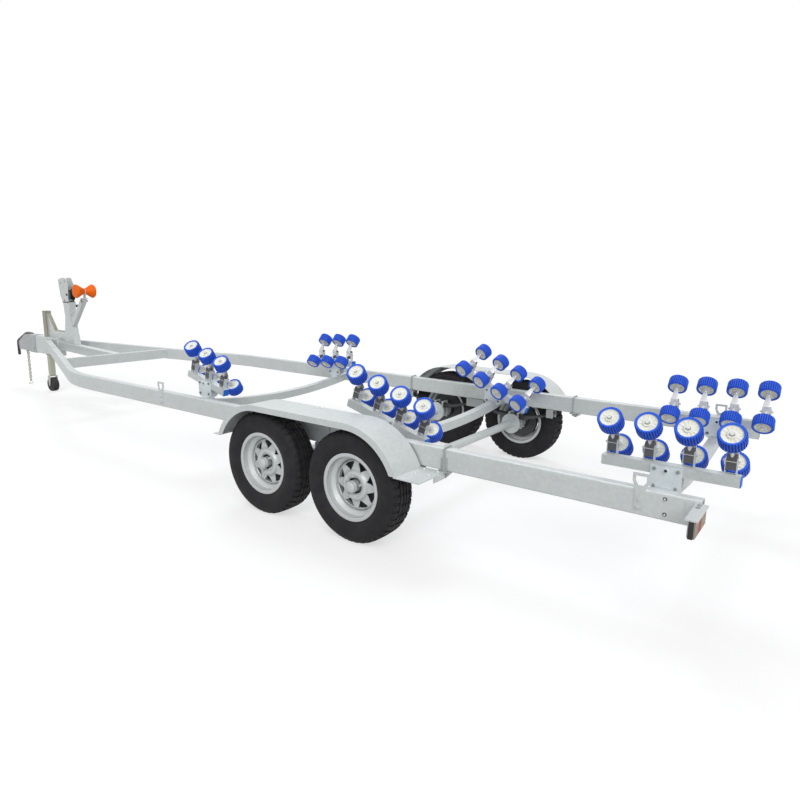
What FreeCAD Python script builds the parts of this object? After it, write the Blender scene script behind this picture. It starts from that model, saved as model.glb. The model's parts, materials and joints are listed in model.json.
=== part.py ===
import FreeCAD, Part
import math
import os

os.makedirs("parts", exist_ok=True)
V = FreeCAD.Vector

# Tandem-axle boat trailer with rocking roller banks.
# Millimetres. +X runs forward to the coupling, +Y to the left, +Z up.
# Every maker below works in the chassis frame: X = 0 midway between the two
# axles, Y = 0 on the centre line, Z = 0 on the ground. save() moves each piece
# so that the origin lies on the ground below the middle of the whole outline.

# Main frame rails
rail_h = 120.0              # rail tube height
rail_w = 60.0               # rail tube width
rail_wall = 4.0
rail_corner_r = 9.0
rail_out_y = 950.0          # outer face of the straight part
rail_top_z = 592.0
rail_rear_x = -2095.0
bend_start_x = 2803.0       # where the rail leaves the straight
bend_r = 1500.0             # centre-line radius of the bend
drawbar_angle = 20.0        # degrees between the bent part and the centre line
drawbar_rise = 75.0         # how much higher the apex is than the straight part

# Drawbar neck, centre spine and its cross tube
neck_w = 100.0
neck_h = 215.0
neck_proud = 15.0           # neck top above the rails where they meet it
neck_wall = 5.0
neck_front_x = 5935.0
neck_lap = 230.0            # neck length behind the point where the rails meet it
spine_w = 80.0
spine_h = 100.0
cross_tube_x = 3950.0
cross_tube_w = 60.0
cross_tube_h = 100.0

# Cross members under the roller banks: a shallow bow, lowest in the middle
member_w = 60.0
member_h = 60.0
member_wall = 4.0
member_end_z = 530.0        # centre height at the rails
member_dip = 75.0

# Wheels and tyres
wheel_gap = 70.0            # between the tyres of one side
tyre_r = 325.0
tyre_w = 189.0
tyre_side_count = 48        # flats round the tyre
rim_r = 178.0               # bead seat
rim_flange_h = 17.0         # flange above the bead seat
rim_w = 155.0               # over the flanges
rim_wall = 4.0
rim_well_depth = 24.0       # well below it
rim_out_y = 1145.0          # outer flange plane
disc_inset = 52.0           # wheel disc behind the outer flange plane
disc_t = 6.0
window_count = 8
stud_count = 5
stud_pcd = 114.3
hub_r = 72.0
hub_cap_r = 31.0
hub_cap_l = 42.0
bead_gap = 0.3
shoulder_share = 0.72       # tread's half width, of the tyre's half width
crown_share = 0.93
edge_share = 0.13           # how far the tread's edge drops, of the sidewall

# Axles and leaf springs
axle_r = 30.0
spindle_r = 17.0
spindle_gap = 0.06          # running fit in the hub
flange_r = 80.0
flange_t = 12.0
spring_y = 920.0
spring_w = 60.0
leaf_t = 8.0
leaf_count = 4
leaf_step = 62.0            # each leaf is this much shorter at each end
spring_half = 305.0         # half of the distance between the eyes
spring_camber = 42.0
eye_r = 17.0
eye_pin_r = 8.0
clamp_t = 12.0
clamp_l = 120.0
ubolt_r = 7.0
hanger_t = 6.0

# Fenders
fender_gap = 47.0           # between the tyre and the fender skin
fender_t = 4.0
fender_in_y = 962.0
fender_out_y = 1196.0
fender_lip = 32.0
fender_end_z = 468.0
step_l = 150.0              # rear step plate behind the fender's end
step_lap = 12.0             # and under it
front_tab_l = 45.0          # the same in front of the fender

# Roller banks
beam_w = 50.0
beam_wall = 3.0
unit_pitch = 174.0          # between neighbouring rocking units
unit_end = 44.0             # beam beyond the last unit's centre
roller_r = 60.0
roller_w = 72.0
roller_span = 254.0         # between the two roller centres of a unit
roller_bore_gap = 0.3
rod_r = 10.0
rod_drop = 46.0             # bush centre below the line through the rollers
bush_l = 42.0               # dark block between the stirrup's legs
bush_w = 34.0
bush_low = 40.0             # below and above the through bolt
bush_high = 32.0
bush_corner = 9.0
bush_height = 62.0          # bush centre above the beam's top
stirrup_t = 4.0
stirrup_w = 30.0
pivot_r = 10.0
pivot_gap = 0.06
cheek_t = 8.0
cheek_gap = 1.0
cheek_l = 140.0
cheek_h = 125.0
cheek_corner = 22.0         # cut off the lower corners

front_bank_x = 1424.0
front_bank_y = 727.0        # from the centre line to the beam
front_bank_z = 661.0        # the beam's pivot
front_bank_count = 3        # rocking units
middle_bank_x = -275.0
middle_bank_y = 700.0
middle_bank_z = 608.0
middle_bank_count = 4
rear_bank_x = -1885.0
rear_bank_y = 636.0
rear_bank_z = 612.0
rear_bank_count = 4

banks = (
    ("front", front_bank_x, front_bank_y, front_bank_z, front_bank_count),
    ("middle", middle_bank_x, middle_bank_y, middle_bank_z, middle_bank_count),
    ("rear", rear_bank_x, rear_bank_y, rear_bank_z, rear_bank_count),
)
# degrees, left and right: beam nose up, and rocking units outboard end up
pitch_angles = {"front": (14.4, -2.8), "middle": (16.1, 24.3), "rear": (-0.3, -2.1)}
tilt_angles = {"front": (54.4, 46.9), "middle": (47.2, 30.3), "rear": (41.4, 42.5)}

# Winch post, winch and bow roller
post_x = 4942.0
post_w = 74.0
post_wall = 4.0
post_foot_l = 240.0
post_waist_l = 104.0
post_top_l = 150.0
post_waist_drop = 170.0     # waist below the top
post_top_z = 1124.0
winch_x = 4912.0
winch_z = 1210.0
winch_side_t = 4.0
winch_gap = 64.0            # between the side plates
winch_plate_top = 192.0     # side plate's top above the shaft
winch_plate_front = 185.0   # and its reach ahead of the shaft
winch_plate_rear = 39.0
plate_corner_shares = ((0.86, 0.25), (1, 0.91), (0.62, 1), (0.26, 1), (0, 0.71))
crank_ahead = 100.0         # crank shaft ahead of the drum shaft
crank_up = 82.0
crank_grip_l = 110.0
drum_r = 26.0
drum_flange_r = 70.0
crank_l = 230.0
crank_rod_r = 8.0
bow_x = 4580.0
bow_z = 1259.0
bow_roller_r = 76.0
bow_waist_r = 30.0
bow_roller_w = 212.0
bow_pin_r = 10.0
bow_arm_t = 8.0
bow_eye_r = 24.0            # hidden in the roller's waist
bow_slot = 10.0             # between the roller's two cones
bow_arm_w = 50.0            # square tube from the post to the bracket
bow_arm_foot_z = 830.0      # top of the tube at the post's middle
bow_bracket_gap = 10.0      # under the roller

# Jack
jack_x = 5530.0
jack_wall = 7.0
jack_top_z = 990.0
jack_tube_low_z = 456.0
jack_leg_half = 30.0        # square leg
jack_leg_wall = 5.0
jack_leg_l = 540.0
jack_swivel_r = 24.0
jack_gusset_h = 285.0
jack_gusset_l = 175.0       # at its foot
jack_gusset_top_l = 30.0
jack_link_h = 95.0          # plate between gusset and post
jack_gap = 0.08
jack_wheel_r = 86.0
jack_wheel_w = 76.0
jack_fork_t = 6.0
jack_axle_r = 8.0

# Coupling and safety chain
coupling_l = 320.0
coupling_w = 92.0
coupling_h = 205.0
coupling_nose_h = 117.0     # height of the ball housing
sleeve_l = 150.0            # sleeve round the neck's end
sleeve_t = 6.0
ball_r = 25.0
lever_w = 40.0
lever_t = 24.0
lever_rise = 28.0           # arch of the handle above the coupling
lever_grip_r = 17.0
lever_grip_l = 113.0
lever_ahead = 95.0          # grip in front of the nose
chain_wire_r = 4.0
chain_link_l = 42.0
chain_link_w = 30.0
chain_link_count = 17
chain_share = 0.64          # how far along the coupling it hangs
chain_bolt_r = 6.5

# Lamps and tie-down plates
lamp_depth = 27.0
lamp_w = 212.0
lamp_h = 73.0
lamp_hood_z = 575.0         # under the hood plate
hood_ahead = 16.0
hood_behind = 6.0
plate_t = 6.0
tie_x_rear = -1850.0
tie_x_front = 1697.0
tie_w = 72.0

nut_h = 9.0
over = 1.0                  # overrun of cutting bodies
seat = 0.3                  # gap where curved faces of neighbours meet

# Worked-out places
rail_y = rail_out_y - rail_w / 2
rail_z = rail_top_z - rail_h / 2
wheel_base = 2 * tyre_r + wheel_gap
rim_flange_r = rim_r + rim_flange_h
rim_well_r = rim_r - rim_well_depth
rail_in_y = rail_out_y - rail_w
bend_rad = math.radians(drawbar_angle)
bend_end_x = bend_start_x + bend_r * math.sin(bend_rad)
bend_end_y = rail_y - bend_r * (1 - math.cos(bend_rad))
apex_x = bend_end_x + (bend_end_y - neck_w / 2) / math.tan(bend_rad)
neck_rear_x = apex_x - neck_lap
neck_top_z = rail_top_z + drawbar_rise + neck_proud
neck_z = neck_top_z - neck_h / 2
axle_z = tyre_r
coupling_front_x = neck_front_x + coupling_l
chain_x = neck_front_x + coupling_l * chain_share
chain_top_z = neck_z - coupling_h / 2 - chain_link_l / 2 - over
lever_grip_x = coupling_front_x + coupling_w / 2 + lever_ahead
front_reach = lever_grip_x + lever_grip_r
rear_reach = rear_bank_x - (rear_bank_count - 1) / 2 * unit_pitch - roller_r
jack_tube_half = jack_leg_half + jack_gap + jack_wall
crank_x = winch_x + crank_ahead
crank_z = winch_z + crank_up
origin_x = (front_reach + rear_reach) / 2


def save(name, shape):
    """Write one piece, moved from the chassis frame to the row frame."""
    moved = shape.copy()
    moved.translate(V(-origin_x, 0, 0))
    moved.exportStep("parts/%s.step" % name)


def block(x0, x1, y0, y1, z0, z1):
    return Part.makeBox(x1 - x0, y1 - y0, z1 - z0, V(x0, y0, z0))


def rod(start, end, radius):
    """A round bar between two points."""
    run = end - start
    return Part.makeCylinder(radius, run.Length, start, run)


def fuse(shapes):
    result = shapes[0].multiFuse(list(shapes[1:])) if len(shapes) > 1 else shapes[0]
    return result.removeSplitter()


def mirrored(shape):
    return shape.mirror(V(0, 0, 0), V(0, 1, 0))


def both_sides(shape):
    return Part.makeCompound([shape, mirrored(shape)])


def turned(shape, centre, axis, degrees):
    result = shape.copy()
    result.rotate(centre, axis, degrees)
    return result


def polygon_prism(points, run):
    wire = Part.makePolygon(list(points) + [points[0]])
    return Part.Face(wire).extrude(run)


def rounded_wire(width, height, radius):
    """A rounded rectangle in the Y-Z plane, centred on the origin."""
    y, z = width / 2, height / 2
    corners = ((1, 1), (-1, 1), (-1, -1), (1, -1))
    edges = []
    ends = []
    for i, (side_y, side_z) in enumerate(corners):
        start = 90 * i
        centre = V(0, side_y * (y - radius), side_z * (z - radius))
        arc = Part.makeCircle(radius, centre, V(1, 0, 0), start, start + 90)
        edges.append(arc)
        ends.append((arc.valueAt(arc.FirstParameter), arc.valueAt(arc.LastParameter)))
    lines = []
    for i in range(len(ends)):
        lines.append(Part.makeLine(ends[i][1], ends[(i + 1) % len(ends)][0]))
    ring = []
    for arc, line in zip(edges, lines):
        ring += [arc, line]
    return Part.Wire(ring)


def tube_face(width, height, radius, wall, centre):
    """A box tube's section in the Y-Z plane; wall 0 gives it solid."""
    outer = Part.Face(rounded_wire(width, height, radius))
    if wall:
        hole = rounded_wire(width - 2 * wall, height - 2 * wall, max(radius - wall, wall / 2))
        outer = outer.cut(Part.Face(hole))
    outer.translate(centre)
    return outer


def revolve_y(profile, centre):
    """Turn an outline of (radius, y) points about the Y axis through centre."""
    points = [V(radius, y, 0) for radius, y in profile]
    face = Part.Face(Part.makePolygon(points + [points[0]]))
    solid = face.revolve(V(0, 0, 0), V(0, 1, 0), 360)
    solid.translate(centre)
    return solid


def facet_ring(profile, centre, count):
    """Like revolve_y, but with flat facets whose middles lie on the profile."""
    grow = 1 / math.cos(math.pi / count)
    faces = []
    for i in range(count):
        turn = [2 * math.pi * (i + step - 1 / 2) / count - math.pi / 2 for step in (0, 1)]
        ring = [[centre + V(r * grow * math.cos(t), y, r * grow * math.sin(t))
                 for r, y in profile] for t in turn]
        for j in range(len(profile)):
            k = (j + 1) % len(profile)
            corners = [ring[0][j], ring[1][j], ring[1][k], ring[0][k]]
            faces.append(Part.Face(Part.makePolygon(corners + [corners[0]])))
    solid = Part.makeSolid(Part.makeShell(faces))
    if solid.Volume < 0:
        solid.reverse()
    return solid


# Frame

def rail(wall):
    """The left rail: straight, bent in, then rising to the neck."""
    section = tube_face(rail_w, rail_h, rail_corner_r, wall, V(rail_rear_x, rail_y, rail_z))
    straight = section.extrude(V(bend_start_x - rail_rear_x, 0, 0))
    at_bend = tube_face(rail_w, rail_h, rail_corner_r, wall, V(bend_start_x, rail_y, rail_z))
    pivot = V(bend_start_x, rail_y - bend_r, rail_z)
    bend = at_bend.revolve(pivot, V(0, 0, 1), -drawbar_angle)
    at_end = turned(at_bend, pivot, V(0, 0, 1), -drawbar_angle)
    reach = apex_x + neck_w - bend_end_x
    slope = drawbar_rise / (apex_x - bend_end_x)
    diagonal = at_end.extrude(V(reach, -reach * math.tan(bend_rad), reach * slope))
    keep_out = block(bend_end_x, neck_front_x, -rail_out_y, neck_w / 2, 0, post_top_z)
    diagonal = diagonal.cut(keep_out)
    return fuse([straight, bend, diagonal])


def rise_at(x):
    return max(0.0, (x - bend_end_x) * drawbar_rise / (apex_x - bend_end_x))


def between_rails(shape, envelope):
    """Keep the part of a cross piece that lies between the two rails."""
    trimmed = shape.cut(envelope).cut(mirrored(envelope))
    middle = [s for s in trimmed.Solids if s.BoundBox.YMin < 0 < s.BoundBox.YMax]
    return middle[0]


def neck():
    """Box tube with an end cap and the hole that the jack passes through."""
    centre = V(neck_rear_x, 0, neck_z)
    tube = tube_face(neck_w, neck_h, rail_corner_r, neck_wall, centre)
    tube = tube.extrude(V(neck_front_x - neck_rear_x, 0, 0))
    cap = tube_face(neck_w, neck_h, rail_corner_r, 0, V(neck_front_x - neck_wall, 0, neck_z))
    cap = cap.extrude(V(neck_wall, 0, 0))
    half = jack_tube_half + seat
    hole = block(jack_x - half, jack_x + half, -half, half, 0, neck_top_z + over)
    return fuse([tube, cap]).cut(hole)


def spine():
    start_x = cross_tube_x + cross_tube_w / 2
    lift = rise_at(start_x)
    section = tube_face(spine_w, spine_h, rail_corner_r, neck_wall, V(start_x, 0, rail_z + lift))
    run = neck_rear_x - start_x
    return section.extrude(V(run, 0, rise_at(neck_rear_x) - lift))


def cross_tube(envelope):
    z = rail_z + rise_at(cross_tube_x)
    x0 = cross_tube_x - cross_tube_w / 2
    z0 = z - cross_tube_h / 2
    bar = block(x0, x0 + cross_tube_w, -rail_out_y, rail_out_y, z0, z0 + cross_tube_h)
    return between_rails(bar, envelope)


def member_radius():
    return (rail_in_y ** 2 + member_dip ** 2) / (2 * member_dip)


def member_z_at(y):
    """Centre height of a cross member at one distance from the centre line."""
    radius = member_radius()
    return member_end_z - member_dip + radius - math.sqrt(radius ** 2 - y ** 2)


def member(x, wall):
    """A bowed cross member; its ends meet the rails' inner faces."""
    radius = member_radius()
    low_z = member_end_z - member_dip
    w, h = member_w / 2, member_h / 2
    half = math.degrees(math.asin(rail_in_y / radius)) + over

    def ring(wx, hz):
        points = [V(x - wx, 0, low_z - hz), V(x + wx, 0, low_z - hz),
                  V(x + wx, 0, low_z + hz), V(x - wx, 0, low_z + hz)]
        face = Part.Face(Part.makePolygon(points + [points[0]]))
        face.rotate(V(x, 0, low_z + radius), V(1, 0, 0), -half)
        return face.revolve(V(x, 0, low_z + radius), V(1, 0, 0), 2 * half)

    shape = ring(w, h)
    if wall:
        shape = shape.cut(ring(w - wall, h - wall))
    keep = block(x - member_w, x + member_w, -rail_in_y, rail_in_y, 0, rail_top_z)
    return shape.common(keep)


# Wheels

def rim(x):
    """A dished steel wheel with windows, nuts, hub and bearing cap."""
    out = rim_out_y
    inn = rim_out_y - rim_w
    lip = rim_wall * 2
    well = 45.0
    barrel = [
        (rim_flange_r, out), (rim_flange_r, out - rim_wall), (rim_r, out - rim_wall),
        (rim_r, out - well), (rim_well_r, out - well - lip), (rim_well_r, inn + well + lip),
        (rim_r, inn + well), (rim_r, inn + rim_wall), (rim_flange_r, inn + rim_wall),
        (rim_flange_r, inn), (rim_r - rim_wall, inn), (rim_r - rim_wall, inn + well - lip),
        (rim_well_r - rim_wall, inn + well), (rim_well_r - rim_wall, out - well),
        (rim_r - rim_wall, out - well + lip), (rim_r - rim_wall, out),
    ]
    wheel = revolve_y(barrel, V(x, 0, axle_z))
    face_y = out - disc_inset
    boss_r = stud_pcd / 2 + nut_h * 2
    raise_y = 16.0
    disc = [
        (0, face_y + raise_y), (boss_r, face_y + raise_y), (boss_r + raise_y, face_y),
        (rim_well_r - rim_wall / 2, face_y - lip), (rim_well_r - rim_wall / 2, face_y - lip - disc_t),
        (boss_r + raise_y, face_y - disc_t), (boss_r, face_y + raise_y - disc_t),
        (0, face_y + raise_y - disc_t),
    ]
    plate = revolve_y(disc, V(x, 0, axle_z))
    window_r = (boss_r + raise_y + rim_well_r) / 2
    window_w = 34.0
    window_h = 30.0
    for i in range(window_count):
        slot = block(x - window_w / 2, x + window_w / 2, face_y - rim_w / 2, face_y + rim_w / 2,
                     axle_z + window_r - window_h / 2, axle_z + window_r + window_h / 2)
        plate = plate.cut(turned(slot, V(x, 0, axle_z), V(0, 1, 0), i * 360 / window_count))
    hub_in_y = rim_out_y - rim_w + rim_wall
    hub = rod(V(x, hub_in_y, axle_z), V(x, face_y + raise_y - disc_t / 2, axle_z), hub_r)
    cap_y = face_y + raise_y + hub_cap_l
    cap = rod(V(x, face_y, axle_z), V(x, cap_y, axle_z), hub_cap_r)
    pieces = [wheel, plate, hub, cap]
    nut_r = 11.0
    for i in range(stud_count):
        angle = math.radians(i * 360 / stud_count + 90)
        sx = x + stud_pcd / 2 * math.cos(angle)
        sz = axle_z + stud_pcd / 2 * math.sin(angle)
        pieces.append(rod(V(sx, face_y, sz), V(sx, face_y + raise_y + 2 * nut_h, sz), nut_r))
    whole = fuse(pieces)
    bore = rod(V(x, hub_in_y - over, axle_z), V(x, face_y, axle_z), spindle_r + spindle_gap)
    return whole.cut(bore)


def tyre(x):
    """A tyre with flat facets round it, its bead just clear of the rim."""
    mid = rim_out_y - rim_w / 2
    bead = rim_r + bead_gap
    half = tyre_w / 2
    bead_half = rim_w / 2 - rim_wall - bead_gap
    side = tyre_r - rim_r
    shoulder = half * shoulder_share
    profile = [
        (bead, -bead_half), (rim_flange_r + bead_gap, -bead_half),
        (rim_r + side / 2, -half), (tyre_r - side * edge_share, -half * crown_share),
        (tyre_r, -shoulder), (tyre_r, shoulder),
        (tyre_r - side * edge_share, half * crown_share), (rim_r + side / 2, half),
        (rim_flange_r + bead_gap, bead_half), (bead, bead_half),
    ]
    return facet_ring(profile, V(x, mid, axle_z), tyre_side_count)


# Axles and springs

def axle(x):
    hub_in_y = rim_out_y - rim_w + rim_wall
    tube_end = hub_in_y - flange_t - seat
    spindle_end = rim_out_y - disc_inset - over
    tube = rod(V(x, -tube_end, axle_z), V(x, tube_end, axle_z), axle_r)
    pieces = [tube]
    for side in (1, -1):
        pieces.append(rod(V(x, side * tube_end, axle_z),
                          V(x, side * (tube_end + flange_t), axle_z), hub_r - flange_t))
        pieces.append(rod(V(x, side * tube_end, axle_z),
                          V(x, side * spindle_end, axle_z), spindle_r))
        inner = spring_y - spring_w - flange_t
        pieces.append(rod(V(x, side * inner, axle_z),
                          V(x, side * (inner - flange_t), axle_z), flange_r))
    return fuse(pieces)


def spring(x):
    """One semi-elliptic pack on top of its axle, eyes up."""
    radius = (spring_half ** 2 + spring_camber ** 2) / (2 * spring_camber)
    base_z = axle_z + axle_r + seat
    y0, y1 = spring_y - spring_w / 2, spring_y + spring_w / 2
    top_z = base_z + leaf_count * leaf_t
    centre = V(x, 0, top_z + radius)
    pieces = []
    for i in range(leaf_count):
        r_in = radius + i * leaf_t
        half = math.degrees((spring_half - i * leaf_step) / radius)
        ring = Part.makeCylinder(r_in + leaf_t, y1 - y0, V(x, y0, centre.z), V(0, 1, 0))
        core = Part.makeCylinder(r_in, y1 - y0, V(x, y0, centre.z), V(0, 1, 0))
        reach = (r_in + leaf_t) * math.sin(math.radians(half))
        keep = block(x - reach, x + reach, y0, y1, 0, rail_top_z)
        pieces.append(ring.cut(core).common(keep))
    for side in (1, -1):
        eye_x = x + side * spring_half
        eye_z = top_z + spring_camber
        eye = rod(V(eye_x, y0, eye_z), V(eye_x, y1, eye_z), eye_r)
        pieces.append(eye)
    pack = fuse(pieces)
    for side in (1, -1):
        eye_x = x + side * spring_half
        eye_z = top_z + spring_camber
        pack = pack.cut(rod(V(eye_x, y0 - over, eye_z), V(eye_x, y1 + over, eye_z), eye_pin_r))
    return pack


def spring_eye_z():
    return axle_z + axle_r + seat + leaf_count * leaf_t + spring_camber


def spring_hangers():
    """Cheeks under the rail with a pin through each spring eye."""
    pieces = []
    z = spring_eye_z()
    eyes = (wheel_base / 2 + spring_half, -wheel_base / 2 - spring_half)
    low = z - eye_r * 1.4
    y0, y1 = spring_y - spring_w / 2 - hanger_t, spring_y + spring_w / 2 + hanger_t
    under = rail_top_z - rail_h
    for x in eyes:
        half = eye_r * 1.6
        cheek_in = block(x - half, x + half, y0, y0 + hanger_t, low, under)
        cheek_out = block(x - half, x + half, y1 - hanger_t, y1, low, under)
        web = block(x - half, x + half, y0, y1, under - hanger_t, under)
        pin = rod(V(x, y0, z), V(x, y1, z), eye_pin_r - seat)
        pieces.append(fuse([cheek_in, cheek_out, web, pin]))
    inner = wheel_base / 2 - spring_half
    half = inner + eye_r * 1.6
    cheek_in = block(-half, half, y0, y0 + hanger_t, low, under)
    cheek_out = block(-half, half, y1 - hanger_t, y1, low, under)
    web = block(-half, half, y0, y1, under - hanger_t, under)
    pins = [rod(V(s * inner, y0, z), V(s * inner, y1, z), eye_pin_r - seat) for s in (1, -1)]
    pieces.append(fuse([cheek_in, cheek_out, web] + pins))
    left = Part.makeCompound(pieces)
    return both_sides(left)


def axle_clamps():
    """U-bolts over each spring pack with a plate under the axle."""
    pieces = []
    top_z = axle_z + axle_r + seat + leaf_count * leaf_t
    low_z = axle_z - axle_r - seat
    y_off = spring_w / 2 + ubolt_r + seat
    for x in (wheel_base / 2, -wheel_base / 2):
        parts = [block(x - clamp_l / 2, x + clamp_l / 2, spring_y - y_off - ubolt_r * 1.5,
                       spring_y + y_off + ubolt_r * 1.5, low_z - clamp_t, low_z)]
        for sx in (1, -1):
            bx = x + sx * (axle_r + ubolt_r + seat)
            high = top_z + ubolt_r * 2.5
            for sy in (1, -1):
                by = spring_y + sy * y_off
                parts.append(rod(V(bx, by, low_z - clamp_t - 2 * nut_h), V(bx, by, high), ubolt_r))
            parts.append(rod(V(bx, spring_y - y_off, high), V(bx, spring_y + y_off, high), ubolt_r))
            parts += [Part.makeSphere(ubolt_r, V(bx, spring_y + sy * y_off, high)) for sy in (1, -1)]
        pieces.append(fuse(parts))
    return both_sides(Part.makeCompound(pieces))


# Fenders

def fender_outline(radius):
    """Side view of the skin at one radius from the axles, over both wheels."""
    end = math.asin((fender_end_z - axle_z) / radius)
    a = wheel_base / 2
    front = Part.makeCircle(radius, V(a, 0, axle_z), V(0, -1, 0), math.degrees(end), 90)
    rear = Part.makeCircle(radius, V(-a, 0, axle_z), V(0, -1, 0), 90, 180 - math.degrees(end))
    top = Part.makeLine(V(a, 0, axle_z + radius), V(-a, 0, axle_z + radius))
    return front, top, rear


def fender():
    r_in = tyre_r + fender_gap
    r_out = r_in + fender_t
    f0, t0, b0 = fender_outline(r_in)
    f1, t1, b1 = fender_outline(r_out)
    tie_front = Part.makeLine(f0.valueAt(f0.FirstParameter), f1.valueAt(f1.FirstParameter))
    tie_rear = Part.makeLine(b0.valueAt(b0.LastParameter), b1.valueAt(b1.LastParameter))
    wire = Part.Wire(Part.__sortEdges__([f0, t0, b0, tie_rear, b1, t1, f1, tie_front]))
    skin = Part.Face(wire).extrude(V(0, fender_out_y - fender_in_y, 0))
    skin.translate(V(0, fender_in_y, 0))
    f2, t2, b2 = fender_outline(r_in - fender_lip)
    tie_front = Part.makeLine(f2.valueAt(f2.FirstParameter), f1.valueAt(f1.FirstParameter))
    tie_rear = Part.makeLine(b2.valueAt(b2.LastParameter), b1.valueAt(b1.LastParameter))
    wire = Part.Wire(Part.__sortEdges__([f2, t2, b2, tie_rear, b1, t1, f1, tie_front]))
    lip = Part.Face(wire).extrude(V(0, fender_t, 0))
    lip.translate(V(0, fender_out_y - fender_t, 0))
    return fuse([skin, lip])


def fender_brackets():
    """Tabs under both ends of a fender, the rear one a step, and a bracket in the middle."""
    skin_r = tyre_r + fender_gap + fender_t
    end_x = wheel_base / 2 + math.sqrt(skin_r ** 2 - (fender_end_z - axle_z) ** 2)
    low = fender_end_z - plate_t
    tread = block(-end_x - step_l, -end_x + step_lap, rail_out_y, fender_out_y, low, fender_end_z)
    tab = block(end_x - step_lap, end_x + front_tab_l, rail_out_y, fender_out_y, low, fender_end_z)
    brace = block(-end_x - step_l, -end_x - step_l + plate_t, rail_out_y,
                  fender_in_y + tyre_w / 2, low - rail_w / 2, low)
    under = axle_z + tyre_r + fender_gap
    upright = block(-tie_w / 2, tie_w / 2, rail_out_y, rail_out_y + plate_t, rail_z, under)
    shelf = block(-tie_w / 2, tie_w / 2, rail_out_y, fender_in_y + tie_w, under - plate_t, under)
    return both_sides(Part.makeCompound([fuse([tread, brace]), tab, fuse([upright, shelf])]))


# Roller banks

def bank_beam(x, y, z, units):
    """The beam with its stirrups, level, pivot at (x, y, z)."""
    half = (units - 1) / 2 * unit_pitch + unit_end
    w = beam_w / 2
    outer = block(x - half, x + half, y - w, y + w, z - w, z + w)
    hollow = block(x - half + beam_wall, x + half - beam_wall, y - w + beam_wall,
                   y + w - beam_wall, z - w + beam_wall, z + w - beam_wall)
    sleeve = rod(V(x, y - w, z), V(x, y + w, z), pivot_r + 2 * beam_wall)
    body = outer.cut(hollow).fuse(sleeve)
    pieces = [body]
    leg_h = bush_height + bush_high / 2
    for i in range(units):
        ux = x + (i - (units - 1) / 2) * unit_pitch
        gap = bush_l / 2 + seat
        y0, y1 = y - stirrup_w / 2, y + stirrup_w / 2
        base = block(ux - gap - stirrup_t, ux + gap + stirrup_t, y0, y1, z + w, z + w + stirrup_t)
        legs = [block(ux + s * gap - (stirrup_t if s < 0 else 0),
                      ux + s * gap + (stirrup_t if s > 0 else 0), y0, y1, z + w, z + w + leg_h)
                for s in (1, -1)]
        pieces += [base] + legs
    whole = fuse(pieces)
    bolt_z = z + w + bush_height
    for i in range(units):
        ux = x + (i - (units - 1) / 2) * unit_pitch
        reach = 2 * bush_l
        whole = whole.cut(rod(V(ux - reach, y, bolt_z), V(ux + reach, y, bolt_z), nut_h * 0.7))
    return whole.cut(rod(V(x, y - beam_w, z), V(x, y + beam_w, z), pivot_r + pivot_gap))


def unit_frame(x, y, z, units):
    """Bush centre of each rocking unit while the beam is level."""
    bolt_z = z + beam_w / 2 + bush_height
    return [V(x + (i - (units - 1) / 2) * unit_pitch, y, bolt_z) for i in range(units)]


def rocker(centre, tilt):
    """Upright block, through bolt and the gull-wing rod that carries two rollers."""
    half, wide = bush_l / 2, bush_w / 2
    low, high, cut = -bush_low, bush_high, bush_corner
    corners = [(-wide, low), (wide, low), (wide, high - cut), (wide - cut, high),
               (cut - wide, high), (-wide, high - cut)]
    block_end = [centre + V(-half, across, up) for across, up in corners]
    bush = polygon_prism(block_end, V(bush_l, 0, 0))
    bolt_half = half + stirrup_t + nut_h + seat
    bolt = rod(centre - V(bolt_half, 0, 0), centre + V(bolt_half, 0, 0), nut_h * 0.65)
    end = roller_span / 2 + roller_w / 2 + nut_h
    knee = roller_span / 2 - roller_w / 2 - nut_h
    arms = []
    for s in (1, -1):
        a = centre + V(0, s * rod_r / 2, rod_r / 2)
        b = centre + V(0, s * knee, rod_drop)
        c = centre + V(0, s * end, rod_drop)
        arms += [rod(a, b, rod_r), Part.makeSphere(rod_r, b), rod(b, c, rod_r)]
        collar = centre + V(0, s * (knee + nut_h - seat), rod_drop)
        arms.append(rod(b, collar, rod_r * 1.5))
    tilted = turned(fuse(arms), centre, V(1, 0, 0), tilt)
    return fuse([bush, bolt, tilted])


def unit_rollers(centre, tilt):
    """The two ribbed rollers of a unit, each on its end of the rod."""
    w = roller_w / 2
    edge = roller_w * 0.1
    bore = rod_r + roller_bore_gap
    profile = [(bore, -w), (roller_r - edge, -w), (roller_r, -w + edge),
               (roller_r, w - edge), (roller_r - edge, w), (bore, w)]
    result = []
    for s in (1, -1):
        roller = revolve_y(profile, centre + V(0, s * roller_span / 2, rod_drop))
        result.append(turned(roller, centre, V(1, 0, 0), tilt))
    return result


def bank_hanger(x, y, z, envelope):
    """Two cheeks and the pivot bolt, standing on the cross member."""
    gap = beam_w / 2 + cheek_gap
    low = member_z_at(y)
    half = cheek_l / 2
    top = z + beam_w / 2 - cheek_t
    pieces = []
    for s in (1, -1):
        y0 = y + s * gap - (cheek_t if s < 0 else 0)
        base = top - cheek_h
        outline = [V(x - half, y0, top), V(x + half, y0, top), V(x + half, y0, base + cheek_corner),
                   V(x + half - cheek_corner, y0, base), V(x - half + cheek_corner, y0, base),
                   V(x - half, y0, base + cheek_corner)]
        pieces.append(polygon_prism(outline, V(0, cheek_t, 0)))
        column = block(x - member_w / 2, x + member_w / 2, y0, y0 + cheek_t, low, top)
        pieces.append(column)
    tie = block(x - member_w / 2, x + member_w / 2, y - gap, y + gap, low,
                z - beam_w * 1.3)
    pieces.append(tie)
    reach = gap + cheek_t + nut_h
    pieces.append(rod(V(x, y - reach, z), V(x, y + reach, z), pivot_r))
    return fuse(pieces).cut(envelope)


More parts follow.
